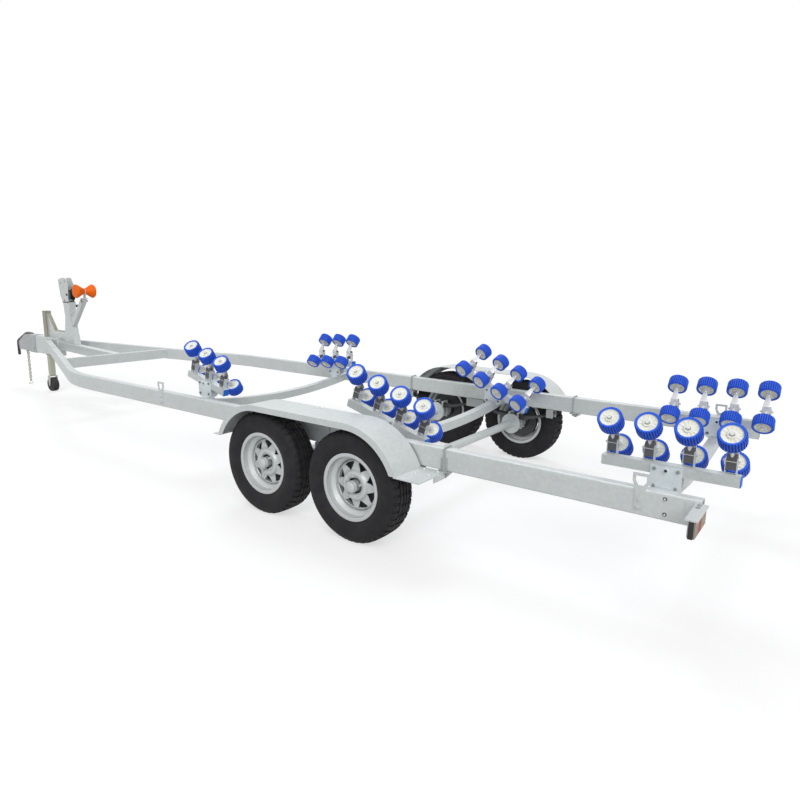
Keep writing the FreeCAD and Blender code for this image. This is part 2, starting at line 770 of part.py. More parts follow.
def make_bank(bank, side, label):
    name, x, y, z, units = bank
    pitch = pitch_angles[name][0 if side > 0 else 1]
    tilt = side * tilt_angles[name][0 if side > 0 else 1]
    pivot = V(x, side * y, z)
    centres = unit_frame(x, side * y, z, units)
    beam = bank_beam(x, side * y, z, units)
    rockers = Part.makeCompound([rocker(c, tilt) for c in centres])
    rollers = []
    for c in centres:
        rollers += unit_rollers(c, tilt)
    pieces = (("bank_beam", beam), ("rockers", rockers), ("rollers", Part.makeCompound(rollers)))
    for kind, shape in pieces:
        save("%s_%s_%s" % (kind, name, label), turned(shape, pivot, V(0, 1, 0), -pitch))


# Winch post, winch and bow roller

def winch_post():
    """A waisted box post, flared at the foot, cut to the rising spine."""
    foot_z = rail_top_z - rail_h
    waist_z = post_top_z - post_waist_drop
    spine_top_z = rail_z + spine_h / 2 + rise_at(post_x)
    outline = [V(post_x - post_foot_l / 2, 0, foot_z), V(post_x + post_foot_l / 2, 0, foot_z),
               V(post_x + post_foot_l / 2, 0, spine_top_z + post_wall),
               V(post_x + post_waist_l / 2, 0, waist_z),
               V(post_x + post_top_l / 2, 0, post_top_z),
               V(post_x - post_top_l / 2, 0, post_top_z),
               V(post_x - post_waist_l / 2, 0, waist_z),
               V(post_x - post_foot_l / 2, 0, spine_top_z + post_wall)]
    body = polygon_prism(outline, V(0, post_w, 0))
    body.translate(V(0, -post_w / 2, 0))
    start_x = cross_tube_x
    lift = rise_at(start_x)
    z0 = rail_z + spine_h / 2 + lift
    slope = drawbar_rise / (apex_x - bend_end_x)
    run = neck_rear_x - start_x
    below = polygon_prism([V(start_x, -post_w, z0), V(start_x + run, -post_w, z0 + run * slope),
                           V(start_x + run, -post_w, 0), V(start_x, -post_w, 0)],
                          V(0, 2 * post_w, 0))
    return body.cut(below)


def winch_frame():
    """Two side plates that lean forward from a base, with the holes of both shafts."""
    half = winch_gap / 2
    foot_rear = post_x - post_waist_l / 2
    foot_front = post_x + post_top_l / 2
    rear = winch_x - winch_plate_rear
    long = winch_plate_front + winch_plate_rear
    high = winch_z + winch_plate_top - post_top_z
    side = [V(foot_rear, 0, post_top_z), V(foot_front, 0, post_top_z)]
    for along, up in plate_corner_shares:
        side.append(V(rear + along * long, 0, post_top_z + up * high))
    plates = []
    for s in (1, -1):
        plate = polygon_prism(side, V(0, winch_side_t, 0))
        plate.translate(V(0, s * half - (winch_side_t if s < 0 else 0), 0))
        plates.append(plate)
    base = block(foot_rear, foot_front, -half, half, post_top_z, post_top_z + winch_side_t)
    whole = fuse(plates + [base])
    hole = rod(V(winch_x, -winch_gap, winch_z), V(winch_x, winch_gap, winch_z),
               drum_r / 2 + pivot_gap)
    crank_hole = rod(V(crank_x, -winch_gap, crank_z), V(crank_x, winch_gap, crank_z),
                     crank_rod_r + pivot_gap)
    return whole.cut(hole).cut(crank_hole)


def winch_drum():
    """Drum with two flanges and its shaft; the webbing is wound on it."""
    half = winch_gap / 2 - over
    wound_r = drum_r * 1.9
    profile = [(0, -half - 3 * winch_side_t), (drum_r / 2, -half - 3 * winch_side_t),
               (drum_r / 2, -half), (drum_flange_r, -half), (drum_flange_r, -half + winch_side_t),
               (wound_r, -half + winch_side_t), (wound_r, half - winch_side_t),
               (drum_flange_r, half - winch_side_t), (drum_flange_r, half), (drum_r / 2, half),
               (drum_r / 2, half + 3 * winch_side_t), (0, half + 3 * winch_side_t)]
    return revolve_y(profile, V(winch_x, 0, winch_z))


def winch_crank():
    """Pinion shaft through the frame with the crank hanging on the right side."""
    half = winch_gap / 2 + winch_side_t
    out = -half - 3 * nut_h
    low = crank_z - crank_l
    shaft = rod(V(crank_x, half + nut_h, crank_z), V(crank_x, out, crank_z), crank_rod_r)
    arm = block(crank_x - 1.5 * crank_rod_r, crank_x + 1.5 * crank_rod_r, out - nut_h, out,
                low, crank_z + 2 * crank_rod_r)
    grip = rod(V(crank_x, out, low + 1.5 * crank_rod_r),
               V(crank_x, out - crank_grip_l, low + 1.5 * crank_rod_r), crank_rod_r * 2)
    return fuse([shaft, arm, grip])


def bow_arm():
    """A sloping square tube from the post; its eye plate holds the roller at the waist."""
    half = bow_arm_w / 2
    seat_z = bow_z - bow_roller_r - bow_bracket_gap
    foot_x = post_x
    head_x = bow_x + half
    foot_z = bow_arm_foot_z
    tube = polygon_prism([V(head_x - half, -half, seat_z), V(head_x + half, -half, seat_z),
                          V(foot_x, -half, foot_z), V(foot_x, -half, foot_z - 3 * half),
                          V(head_x - half, -half, seat_z - half)], V(0, bow_arm_w, 0))
    saddle = block(bow_x - half, head_x + half, -half, half, seat_z, seat_z + bow_arm_t)
    plate = block(bow_x - bow_eye_r, bow_x + bow_eye_r, -bow_arm_t / 2, bow_arm_t / 2,
                  seat_z, bow_z)
    eye = rod(V(bow_x, -bow_arm_t / 2, bow_z), V(bow_x, bow_arm_t / 2, bow_z), bow_eye_r)
    bolt_z = seat_z - half
    bolt = rod(V(head_x, -half - 2 * nut_h, bolt_z), V(head_x, half + 2 * nut_h, bolt_z), bow_pin_r)
    whole = fuse([tube, saddle, plate, eye, bolt]).cut(winch_post())
    hole = rod(V(bow_x, -bow_roller_w, bow_z), V(bow_x, bow_roller_w, bow_z), bow_pin_r + pivot_gap)
    solids = sorted(whole.cut(hole).Solids, key=lambda part: part.Volume)
    return solids[-1]


def bow_roller():
    """Two cones on one pin, with the slot for the arm's eye plate between them."""
    half = bow_roller_w / 2
    pin = half + nut_h
    slot = bow_slot / 2
    profile = [(0, -pin), (bow_pin_r, -pin), (bow_pin_r, -half), (bow_roller_r * 0.8, -half),
               (bow_roller_r, -half * 0.8), (bow_waist_r, -slot), (bow_pin_r, -slot),
               (bow_pin_r, slot), (bow_waist_r, slot), (bow_roller_r, half * 0.8),
               (bow_roller_r * 0.8, half), (bow_pin_r, half), (bow_pin_r, pin), (0, pin)]
    return revolve_y(profile, V(bow_x, 0, bow_z))


# Jack

def jack_tube():
    """Square outer tube through the neck, closed by a cap."""
    r = jack_tube_half
    inner = jack_leg_half + jack_gap
    x = jack_x
    tube = block(x - r, x + r, -r, r, jack_tube_low_z, jack_top_z)
    bore = block(x - inner, x + inner, -inner, inner, jack_tube_low_z - over, jack_top_z)
    cap = block(x - r, x + r, -r, r, jack_top_z, jack_top_z + nut_h)
    return fuse([tube.cut(bore), cap])


def jack_bracket():
    """Gusset plates behind the jack with a lower link to the winch post."""
    x1 = jack_x - jack_tube_half
    x0 = post_x
    z0 = neck_top_z
    shoulder_x = x1 - jack_gusset_l
    plate = polygon_prism([V(x0, 0, z0), V(x1, 0, z0), V(x1, 0, z0 + jack_gusset_h),
                           V(x1 - jack_gusset_top_l, 0, z0 + jack_gusset_h),
                           V(shoulder_x, 0, z0 + jack_link_h), V(x0, 0, z0 + jack_link_h)],
                          V(0, plate_t, 0))
    pieces = []
    for s in (1, -1):
        copy = plate.copy()
        copy.translate(V(0, s * (jack_leg_half - plate_t) - (plate_t if s < 0 else 0), 0))
        pieces.append(copy)
    lid = block(x0, shoulder_x, -jack_leg_half, jack_leg_half, z0 + jack_link_h - plate_t,
                z0 + jack_link_h)
    whole = fuse(pieces + [lid]).cut(winch_post())
    ahead = [part for part in whole.Solids if part.BoundBox.XMax > neck_rear_x]
    return ahead[0]


def jack_leg():
    """The sliding square leg, closed at its foot over the swivel."""
    low = 2 * jack_wheel_r + 5 * jack_fork_t
    r = jack_leg_half
    inner = r - jack_leg_wall
    x = jack_x
    tube = block(x - r, x + r, -r, r, low, low + jack_leg_l)
    room = block(x - inner, x + inner, -inner, inner, low + jack_wall, low + jack_leg_l + over)
    return tube.cut(room)


def jack_fork():
    """A castor fork, trailing behind the swivel."""
    x = jack_x
    half = jack_wheel_w / 2 + jack_fork_t / 2
    top = 2 * jack_wheel_r + 5 * jack_fork_t - seat
    pieces = [rod(V(x, 0, top - jack_fork_t), V(x, 0, top), jack_swivel_r)]
    pieces.append(block(x - jack_swivel_r, x + jack_swivel_r, -half - jack_fork_t, half + jack_fork_t,
                        top - 2 * jack_fork_t, top - jack_fork_t))
    for s in (1, -1):
        y0 = s * half - (jack_fork_t if s < 0 else 0)
        pieces.append(block(x - jack_swivel_r, x + jack_swivel_r, y0, y0 + jack_fork_t,
                            jack_wheel_r - 2 * jack_axle_r, top - jack_fork_t))
    reach = half + jack_fork_t + nut_h
    pieces.append(rod(V(x, -reach, jack_wheel_r), V(x, reach, jack_wheel_r), jack_axle_r))
    return fuse(pieces)


def jack_wheel():
    w = jack_wheel_w / 2
    edge = jack_wheel_w * 0.18
    bore = jack_axle_r + pivot_gap
    profile = [(bore, -w), (jack_wheel_r - edge, -w), (jack_wheel_r, -w + edge),
               (jack_wheel_r, w - edge), (jack_wheel_r - edge, w), (bore, w)]
    return revolve_y(profile, V(jack_x, 0, jack_wheel_r))


# Coupling and chain

def coupling():
    """Sleeve on the neck's end, then a housing that drops to the ball's nose."""
    w = coupling_w / 2
    z_top = neck_z + coupling_h / 2
    z_low = neck_z - coupling_h / 2
    x0 = neck_front_x
    ball_x = coupling_front_x
    band_w = neck_w + 2 * sleeve_t + 2 * seat
    band_h = neck_h + 2 * sleeve_t + 2 * seat
    band = tube_face(band_w, band_h, rail_corner_r + sleeve_t, sleeve_t, V(x0 - sleeve_l, 0, neck_z))
    band = band.extrude(V(sleeve_l, 0, 0))
    plate = tube_face(band_w, band_h, rail_corner_r + sleeve_t, 0, V(x0 + seat, 0, neck_z))
    plate = plate.extrude(V(sleeve_t, 0, 0))
    rim = tube_face(band_w, band_h, rail_corner_r + sleeve_t, sleeve_t, V(x0, 0, neck_z))
    rim = rim.extrude(V(seat, 0, 0))
    nose_z = z_low + coupling_nose_h
    body = polygon_prism([V(x0 + seat, -w, z_low), V(ball_x, -w, z_low), V(ball_x, -w, nose_z),
                          V(x0 + coupling_l / 2, -w, z_top), V(x0 + seat, -w, z_top)],
                         V(0, coupling_w, 0))
    head = rod(V(ball_x, 0, z_low), V(ball_x, 0, nose_z), w)
    bolt_z = chain_top_z + chain_link_l / 2 - 2 * chain_wire_r - chain_bolt_r - seat
    lug_y = chain_wire_r + over
    reach = lug_y + plate_t + nut_h
    bolt = rod(V(chain_x, -reach, bolt_z), V(chain_x, reach, bolt_z), chain_bolt_r)
    lugs = []
    for y0 in (lug_y, -lug_y - plate_t):
        lugs.append(block(chain_x - chain_link_w / 2, chain_x + chain_link_w / 2,
                          y0, y0 + plate_t, bolt_z - chain_link_w / 3, z_low))
    socket = Part.makeSphere(ball_r + seat, V(ball_x, 0, z_low + ball_r))
    throat = rod(V(ball_x, 0, z_low - over), V(ball_x, 0, z_low + ball_r), ball_r + seat)
    return fuse([band, rim, plate, body, head, bolt] + lugs).cut(socket).cut(throat)


def coupling_lever():
    """A handle that arches over the coupling and ends in a hanging grip."""
    z_top = neck_z + coupling_h / 2
    grip_top = neck_z - coupling_h / 2 + ball_r
    x0 = neck_front_x + sleeve_t + lever_t / 2
    x1 = lever_grip_x - lever_t / 2
    crown = z_top + lever_rise
    bend_x = neck_front_x + coupling_l / 2 + lever_rise
    outer = [V(x0, 0, z_top), V(x0 + lever_rise, 0, crown), V(bend_x, 0, crown),
             V(x1 + lever_t, 0, neck_z), V(x1 + lever_t, 0, grip_top)]
    inner = [V(x1, 0, grip_top), V(x1, 0, neck_z - lever_t / 2),
             V(bend_x - lever_t / 2, 0, crown - lever_t),
             V(x0 + lever_rise + lever_t / 2, 0, crown - lever_t), V(x0 + lever_t, 0, z_top)]
    bar = polygon_prism(outer + inner, V(0, lever_w, 0))
    bar.translate(V(0, -lever_w / 2, 0))
    grip = rod(V(lever_grip_x, 0, grip_top), V(lever_grip_x, 0, grip_top - lever_grip_l), lever_grip_r)
    return fuse([bar, grip])


def chain_link(centre, flat):
    """A flat-sided link of square wire, turned a quarter for every other one."""
    wide = chain_link_w / 2
    tall = chain_link_l / 2
    wire = 2 * chain_wire_r

    def loop(w, h):
        cut = w / 2
        return [V(w, 0, h - cut), V(w - cut, 0, h), V(cut - w, 0, h), V(-w, 0, h - cut),
                V(-w, 0, cut - h), V(cut - w, 0, -h), V(w - cut, 0, -h), V(w, 0, cut - h)]

    outer = polygon_prism(loop(wide, tall), V(0, wire, 0))
    hole = polygon_prism(loop(wide - wire, tall - wire), V(0, wire, 0))
    link = outer.cut(hole)
    link.translate(centre - V(0, chain_wire_r, 0))
    return turned(link, centre, V(0, 0, 1), 90 if flat else 0)


def safety_chain():
    step = chain_link_l - 4 * chain_wire_r - seat
    links = [chain_link(V(chain_x, 0, chain_top_z - i * step), i % 2 == 1)
             for i in range(chain_link_count)]
    return Part.makeCompound(links)


# Lamps and tie-downs

def tail_lamp():
    """A wide flat lamp beside the rail's end, under its hood."""
    x1 = rail_rear_x + hood_behind - seat
    y0 = rail_out_y + plate_t + seat
    z1 = lamp_hood_z - seat
    return block(x1 - lamp_depth, x1, y0, y0 + lamp_w, z1 - lamp_h, z1)


def lamp_bracket():
    """Plate on the rail's outer face, a back plate and the hood over the lamp."""
    x1 = rail_rear_x + hood_behind
    y0 = rail_out_y
    y1 = rail_out_y + plate_t + lamp_w
    z1 = lamp_hood_z
    cheek = block(x1 - lamp_depth / 4, x1 + lamp_w / 4, y0, y0 + plate_t, z1 - lamp_h, z1 + plate_t)
    back = block(x1, x1 + plate_t, y0, y1 - lamp_h / 4, z1 - lamp_h, z1)
    hood = block(x1 - lamp_depth - hood_behind, x1 + hood_ahead, y0, y1, z1, z1 + plate_t)
    return fuse([cheek, back, hood])


def tie_down(x):
    """A plate bolted to the rail's outer face with a loop above it."""
    y0, y1 = rail_out_y, rail_out_y + plate_t
    low = rail_z - rail_h / 4
    neck_half = tie_w * 0.3
    top = rail_top_z + tie_w
    outline = [V(x - neck_half, y0, low), V(x + neck_half, y0, low),
               V(x + neck_half, y0, rail_top_z), V(x + tie_w / 2, y0, rail_top_z + tie_w / 2),
               V(x + tie_w / 2, y0, top), V(x - tie_w / 2, y0, top),
               V(x - tie_w / 2, y0, rail_top_z + tie_w / 2), V(x - neck_half, y0, rail_top_z)]
    plate = polygon_prism(outline, V(0, plate_t, 0))
    inset = tie_w * 0.18
    hole = polygon_prism([V(x - neck_half + inset, y0 - over, rail_top_z + inset),
                          V(x + neck_half - inset, y0 - over, rail_top_z + inset),
                          V(x + tie_w / 2 - inset, y0 - over, rail_top_z + tie_w / 2),
                          V(x + tie_w / 2 - inset, y0 - over, top - inset),
                          V(x - tie_w / 2 + inset, y0 - over, top - inset),
                          V(x - tie_w / 2 + inset, y0 - over, rail_top_z + tie_w / 2)],
                         V(0, plate_t + 2 * over, 0))
    bolts = []
    for z in (rail_z + rail_h / 6, rail_z - rail_h / 8):
        bolts.append(rod(V(x, y1, z), V(x, y1 + nut_h, z), nut_h))
    return fuse([plate.cut(hole)] + bolts)


def build():
    envelope = rail(0)
    left_rail = rail(rail_wall)
    save("rail_left", left_rail)
    save("rail_right", mirrored(left_rail))
    save("drawbar_neck", neck())
    save("drawbar_spine", spine())
    save("cross_tube", cross_tube(envelope))
    for bank in banks:
        name, x, y, z, units = bank
        save("cross_member_%s" % name, member(x, member_wall))
        solid_member = member(x, 0)
        save("bank_hangers_%s" % name, both_sides(bank_hanger(x, y, z, solid_member)))
        make_bank(bank, 1, "left")
        make_bank(bank, -1, "right")
    for label, x in (("front", wheel_base / 2), ("rear", -wheel_base / 2)):
        save("axle_%s" % label, axle(x))
        wheel = rim(x)
        rubber = tyre(x)
        save("wheel_%s_left" % label, wheel)
        save("wheel_%s_right" % label, mirrored(wheel))
        save("tyre_%s_left" % label, rubber)
        save("tyre_%s_right" % label, mirrored(rubber))
    springs = Part.makeCompound([spring(wheel_base / 2), spring(-wheel_base / 2)])
    save("leaf_springs", both_sides(springs))
    save("spring_hangers", spring_hangers())
    save("axle_clamps", axle_clamps())
    save("fenders", both_sides(fender()))
    save("fender_brackets", fender_brackets())
    save("winch_post", winch_post())
    save("winch_frame", winch_frame())
    save("winch_drum", winch_drum())
    save("winch_crank", winch_crank())
    save("bow_arm", bow_arm())
    save("bow_roller", bow_roller())
    save("jack_tube", fuse([jack_tube(), jack_bracket()]))
    save("jack_leg", jack_leg())
    save("jack_fork", jack_fork())
    save("jack_wheel", jack_wheel())
    save("coupling", coupling())
    save("coupling_lever", coupling_lever())
    save("safety_chain", safety_chain())
    save("tail_lamps", both_sides(tail_lamp()))
    save("lamp_brackets", both_sides(lamp_bracket()))
    ties = Part.makeCompound([tie_down(tie_x_rear), tie_down(tie_x_front)])
    save("tie_downs", both_sides(ties))


build()
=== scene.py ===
# %% [markdown]
# # A tandem-axle boat trailer
#
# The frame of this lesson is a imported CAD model: rails, banks of rollers, wheels, winch post and jack are
# already in their true places. The cells below give that frame its looks. Each step says what the piece is
# on the real trailer, how it could be made, and why one way was chosen.

# %% Load the frame
import bpy
import bmesh
import json
import math
from mathutils import Matrix, Vector

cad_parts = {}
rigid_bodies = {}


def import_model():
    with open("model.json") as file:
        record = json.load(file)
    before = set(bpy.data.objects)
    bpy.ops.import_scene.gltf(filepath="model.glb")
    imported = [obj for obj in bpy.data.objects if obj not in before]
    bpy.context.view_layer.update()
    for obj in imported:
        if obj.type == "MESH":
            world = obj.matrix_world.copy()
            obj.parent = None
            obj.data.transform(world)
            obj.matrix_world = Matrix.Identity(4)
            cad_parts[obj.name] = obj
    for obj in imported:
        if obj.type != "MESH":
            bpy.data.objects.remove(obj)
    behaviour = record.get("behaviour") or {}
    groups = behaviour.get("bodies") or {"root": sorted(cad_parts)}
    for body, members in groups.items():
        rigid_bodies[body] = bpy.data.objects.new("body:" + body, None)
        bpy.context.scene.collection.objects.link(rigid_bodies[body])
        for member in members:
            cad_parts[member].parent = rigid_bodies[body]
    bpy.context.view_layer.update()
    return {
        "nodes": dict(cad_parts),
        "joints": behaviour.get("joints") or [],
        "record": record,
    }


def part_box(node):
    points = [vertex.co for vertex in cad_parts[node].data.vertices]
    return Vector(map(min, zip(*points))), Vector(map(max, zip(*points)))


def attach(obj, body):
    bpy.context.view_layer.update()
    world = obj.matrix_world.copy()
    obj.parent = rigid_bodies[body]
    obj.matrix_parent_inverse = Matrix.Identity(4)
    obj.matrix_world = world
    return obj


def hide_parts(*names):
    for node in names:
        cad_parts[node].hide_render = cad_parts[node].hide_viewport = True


for thing in list(bpy.data.objects):
    bpy.data.objects.remove(thing)
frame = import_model()
nodes = frame["nodes"]

# %% [markdown]
# ## The camera
#
# The photograph is taken from behind and to the left, at about chest height. The angle could be guessed by
# eye, but the rims are true circles of a known size, so their ellipses in the picture fix the place, the
# direction and the focal length together. Those solved values are written here.

# %% Place the camera
view_yaw, view_pitch, view_roll = (math.radians(a) for a in (-53.99, -11.3, 0.87))
ahead = Vector((math.cos(view_yaw) * math.cos(view_pitch), math.sin(view_yaw) * math.cos(view_pitch),
                math.sin(view_pitch)))
level_right = ahead.cross(Vector((0, 0, 1))).normalized()
level_up = level_right.cross(ahead)
cam_right = level_right * math.cos(view_roll) + level_up * math.sin(view_roll)
cam_up = level_up * math.cos(view_roll) - level_right * math.sin(view_roll)
lens = bpy.data.cameras.new("camera")
shift_px, picture_px = -1, 800
lens.lens, lens.sensor_width, lens.shift_x = 27.89, 36, shift_px / picture_px
camera = bpy.data.objects.new("camera", lens)
bpy.context.scene.collection.objects.link(camera)
stand = Matrix((cam_right, cam_up, -ahead)).transposed().to_4x4()
stand.translation = Vector((-4.6127, 3.6294, 1.479))
camera.matrix_world = stand
bpy.context.scene.camera = camera
print("camera looks along", [round(v, 3) for v in ahead])

# %% [markdown]
# ## Floor and light
#
# A catalogue picture has a white sweep and large soft lamps. A bright world alone would light everything
# evenly and lose the shape of the tubes, so one broad sun gives direction, and a stronger one fills the side
# that faces the camera. Whatever sees the world directly, or in a reflection, sees plain white.

# %% Light the scene
bpy.context.scene.view_settings.view_transform = "Standard"
WHITE = (1, 1, 1, 1)
GLOW, FLOOR_GREY, FLOOR_GLOW = 0.42, 0.45, 0.6


def add_node(tree, kind, sockets=None, **settings):
    """A shader node with its settings; each socket gets a value, or a wire where the value is an output."""
    made = tree.nodes.new("ShaderNode" + kind)
    for key, value in settings.items():
        setattr(made, key, value)
    for socket, value in (sockets or {}).items():
        if isinstance(value, bpy.types.NodeSocket):
            tree.links.new(value, made.inputs[socket])
        else:
            made.inputs[socket].default_value = value
    return made


def seen_directly(tree):
    """One where a camera, mirror or glass ray arrives, zero for light that falls on a surface."""
    ray = add_node(tree, "LightPath").outputs
    first = add_node(tree, "Math", {0: ray["Is Camera Ray"], 1: ray["Is Glossy Ray"]}, operation="MAXIMUM")
    return add_node(tree, "Math", {0: first.outputs[0], 1: ray["Is Transmission Ray"]},
                    operation="MAXIMUM").outputs[0]


world = bpy.data.worlds.new("studio")
bpy.context.scene.world = world
world.use_nodes = True
sky = world.node_tree
sky.nodes.clear()
backdrop = add_node(sky, "Background", {"Color": WHITE})
glow = add_node(sky, "Background", {"Color": WHITE, "Strength": GLOW})
sky_mix = add_node(sky, "MixShader", {0: seen_directly(sky), 1: glow.outputs[0], 2: backdrop.outputs[0]})
add_node(sky, "OutputWorld", {0: sky_mix.outputs[0]})
lamps = {"main": ((0.45, 0.3, 0.3), 0.85, 0.45, (0.9, 0.95, 1.0)),
         "fill": ((-0.915, 0.0, 0.768), 1.5, 0.7, (1.0, 1.0, 1.0))}
for lamp_name, (lamp_turn, lamp_power, lamp_size, lamp_colour) in lamps.items():
    sun = bpy.data.lights.new(lamp_name, "SUN")
    sun.energy, sun.angle, sun.color = lamp_power, lamp_size, lamp_colour
    sun_object = bpy.data.objects.new(lamp_name, sun)
    sun_object.rotation_euler = lamp_turn
    bpy.context.scene.collection.objects.link(sun_object)
    print(lamp_name, "sun at strength", lamp_power)

# %% The floor
bpy.ops.mesh.primitive_plane_add(size=60, location=(0, 0, 0))
floor = bpy.context.object
floor.name = "floor"
paper = bpy.data.materials.new("paper_sweep")
paper.use_nodes = True
sheet = paper.node_tree
sheet.nodes.clear()
matt = add_node(sheet, "BsdfDiffuse", {"Color": (FLOOR_GREY, FLOOR_GREY, FLOOR_GREY, 1)})
strength = add_node(sheet, "Math", {0: seen_directly(sheet), 1: FLOOR_GLOW}, operation="MULTIPLY")
lit = add_node(sheet, "Emission", {"Strength": strength.outputs[0]})
paper_sum = add_node(sheet, "AddShader", {0: matt.outputs[0], 1: lit.outputs[0]})
add_node(sheet, "OutputMaterial", {0: paper_sum.outputs[0]})
floor.data.materials.append(paper)
print("floor", floor.dimensions[:2])

# %% [markdown]
# ## Helpers for modelling
#
# Every new piece below is shaped with the same few moves: hold one piece, pick faces or edges by where they
# are, run an edit-mode operator on them, and finish. An operator acts on everything that is selected, so
# each helper starts by letting go of all the rest.

# %% Hold and pick
def settle():
    """Leave edit mode and let go of everything."""
    if bpy.context.mode != "OBJECT":
        bpy.ops.object.mode_set(mode="OBJECT")
    bpy.ops.object.select_all(action="DESELECT")


def hold(piece):
    """Make one piece the only one that operators act on."""
    settle()
    piece.select_set(True)
    bpy.context.view_layer.objects.active = piece


def pick(piece, test, kind="FACE"):
    """In edit mode, select only the faces whose middle and normal pass, or the edges or vertices."""
    hold(piece)
    bpy.ops.object.mode_set(mode="EDIT")
    bpy.ops.mesh.select_mode(type=kind)
    bpy.ops.mesh.select_all(action="DESELECT")
    shell = bmesh.from_edit_mesh(piece.data)
    shell.normal_update()
    if kind == "FACE":
        found = [face for face in shell.faces if test(face.calc_center_median(), face.normal)]
    elif kind == "EDGE":
        found = [edge for edge in shell.edges if test((edge.verts[0].co + edge.verts[1].co) / 2,
                                                      (edge.verts[1].co - edge.verts[0].co).normalized())]
    else:
        found = [point for point in shell.verts if test(point.co, point.normal)]
    for element in found:
        element.select_set(True)
    shell.select_flush_mode()
    bmesh.update_edit_mesh(piece.data)
    return len(found)


def everything(middle, normal):
    """The test that every face passes."""
    return True


def outward(piece):
    """Merge doubles, then turn every face outwards."""
    pick(piece, everything)
    bpy.ops.mesh.remove_doubles(threshold=1e-5)
    bpy.ops.mesh.normals_make_consistent(inside=False)
    settle()


def sunk(piece, test, depth):
    """Press the faces that pass inwards, and tell how many they were."""
    found = pick(piece, test)
    bpy.ops.mesh.extrude_region_shrink_fatten(TRANSFORM_OT_shrink_fatten={"value": -depth})
    return found


def modifier(piece, kind, **values):
    """Add one modifier and apply it at once."""
    hold(piece)
    made = piece.modifiers.new(kind.lower(), kind)
    for key, value in values.items():
        setattr(made, key, value)
    bpy.ops.object.modifier_apply(modifier=made.name)
    return piece


print("picking helpers ready")


# %% Place, copy, join and finish
def placed(piece, matrix):
    """Move a piece's mesh, so that its object stays at the origin."""
    settle()
    piece.data.transform(piece.matrix_world)
    piece.matrix_world = Matrix.Identity(4)
    piece.data.transform(matrix)
    return piece


def another(piece, matrix):
    """A copy with its own mesh, placed by a matrix."""
    twin = piece.copy()
    twin.data = piece.data.copy()
    bpy.context.scene.collection.objects.link(twin)
    twin.data.transform(matrix)
    return twin


def drop(*patterns):
    """Remove patterns that have been copied to their places."""
    for pattern in patterns:
        bpy.data.objects.remove(pattern)


def copies(pattern, matrices):
    """One pattern at many places; the pattern is removed."""
    made = [another(pattern, matrix) for matrix in matrices]
    drop(pattern)
    return made


def joined(pieces):
    """Several pieces as one object."""
    settle()
    for piece in pieces:
        piece.select_set(True)
    bpy.context.view_layer.objects.active = pieces[0]
    if len(pieces) > 1:
        bpy.ops.object.join()
    settle()
    return pieces[0]


def finish_piece(piece, name, material, body="chassis", stands_for=None, smooth=30):
    """Join a list, name and shade the piece, give it its material and let it ride on its body."""
    if isinstance(piece, list):
        piece = joined(piece)
    hold(piece)
    bpy.ops.object.transform_apply(location=True, rotation=True, scale=True)
    bpy.ops.object.shade_smooth_by_angle(angle=math.radians(smooth))
    settle()
    piece.name = piece.data.name = name
    if material is not None:
        piece.data.materials.clear()
        piece.data.materials.append(bpy.data.materials[material])
    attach(piece, body)
    if stands_for:
        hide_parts(stands_for)


def middle_of(node_name):
    """The middle of a CAD node's box."""
    low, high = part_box(node_name)
    return (low + high) / 2


def outer_of(label):
    """The way outboard along Y: 1 on the left, -1 on the right."""
    return 1 if label.endswith("left") else -1


print("finishing helpers ready")

# %% [markdown]
# ## Turned shapes
#
# Tyres, rims, rollers and knobs are all turned about an axle. Blender's spin operator would do it, but then
# the seam has to be merged and the outline drawn first. Here a ring is extruded along the axle and resized,
# ring after ring, as clay grows on a wheel: the outline is simply a list of radius and height.

# %% Stack rings along an axle
NO_MOVE = {"value": (0, 0, 0)}


def stack(profile, count, start_pole=False, end_pole=False):
    """Rings of (radius, height) along Z, one extruded from the last."""
    settle()
    radius, height = profile[0]
    bpy.ops.mesh.primitive_circle_add(vertices=count, radius=radius, location=(0, 0, 0), fill_type="NOTHING")
    piece = bpy.context.object
    piece.data.transform(Matrix.Translation((0, 0, height)))
    hold(piece)
    bpy.ops.object.mode_set(mode="EDIT")
    bpy.ops.mesh.select_mode(type="EDGE")
    bpy.ops.mesh.select_all(action="SELECT")
    if start_pole:
        bpy.ops.mesh.extrude_edges_move(TRANSFORM_OT_translate=NO_MOVE)
        bpy.ops.mesh.merge(type="CENTER")
        pick(piece, lambda middle, run: middle.xy.length > radius * 0.9, "EDGE")
    for (r0, z0), (r1, z1) in zip(profile, profile[1:]):
        bpy.ops.mesh.extrude_edges_move(TRANSFORM_OT_translate={"value": (0, 0, z1 - z0)})
        if abs(r1 - r0) > 1e-7:
            bpy.ops.transform.resize(value=(r1 / r0, r1 / r0, 1), center_override=(0, 0, z1))
    if end_pole:
        bpy.ops.mesh.extrude_edges_move(TRANSFORM_OT_translate=NO_MOVE)
        bpy.ops.mesh.merge(type="CENTER")
    outward(piece)
    return piece


def solid(profile, count):
    """A turned shape that is closed at both ends."""
    return stack(profile, count, start_pole=True, end_pole=True)


def mirrored(half):
    """Half an outline and its mirror image, as one run."""
    return half + [(radius, -height) for radius, height in reversed(half)]


def hoop(outline, count):
    """A closed outline turned to a ring with a hole."""
    return stack(outline + outline[:1], count)


def bar(size, centre, bevel=0.0, segments=2):
    """A block at its size and place with its edges rounded."""
    settle()
    bpy.ops.mesh.primitive_cube_add(size=1, location=centre, scale=size)
    piece = placed(bpy.context.object, Matrix.Identity(4))
    if bevel:
        modifier(piece, "BEVEL", width=bevel, segments=segments, limit_method="ANGLE")
    return piece


print("turning helpers ready")


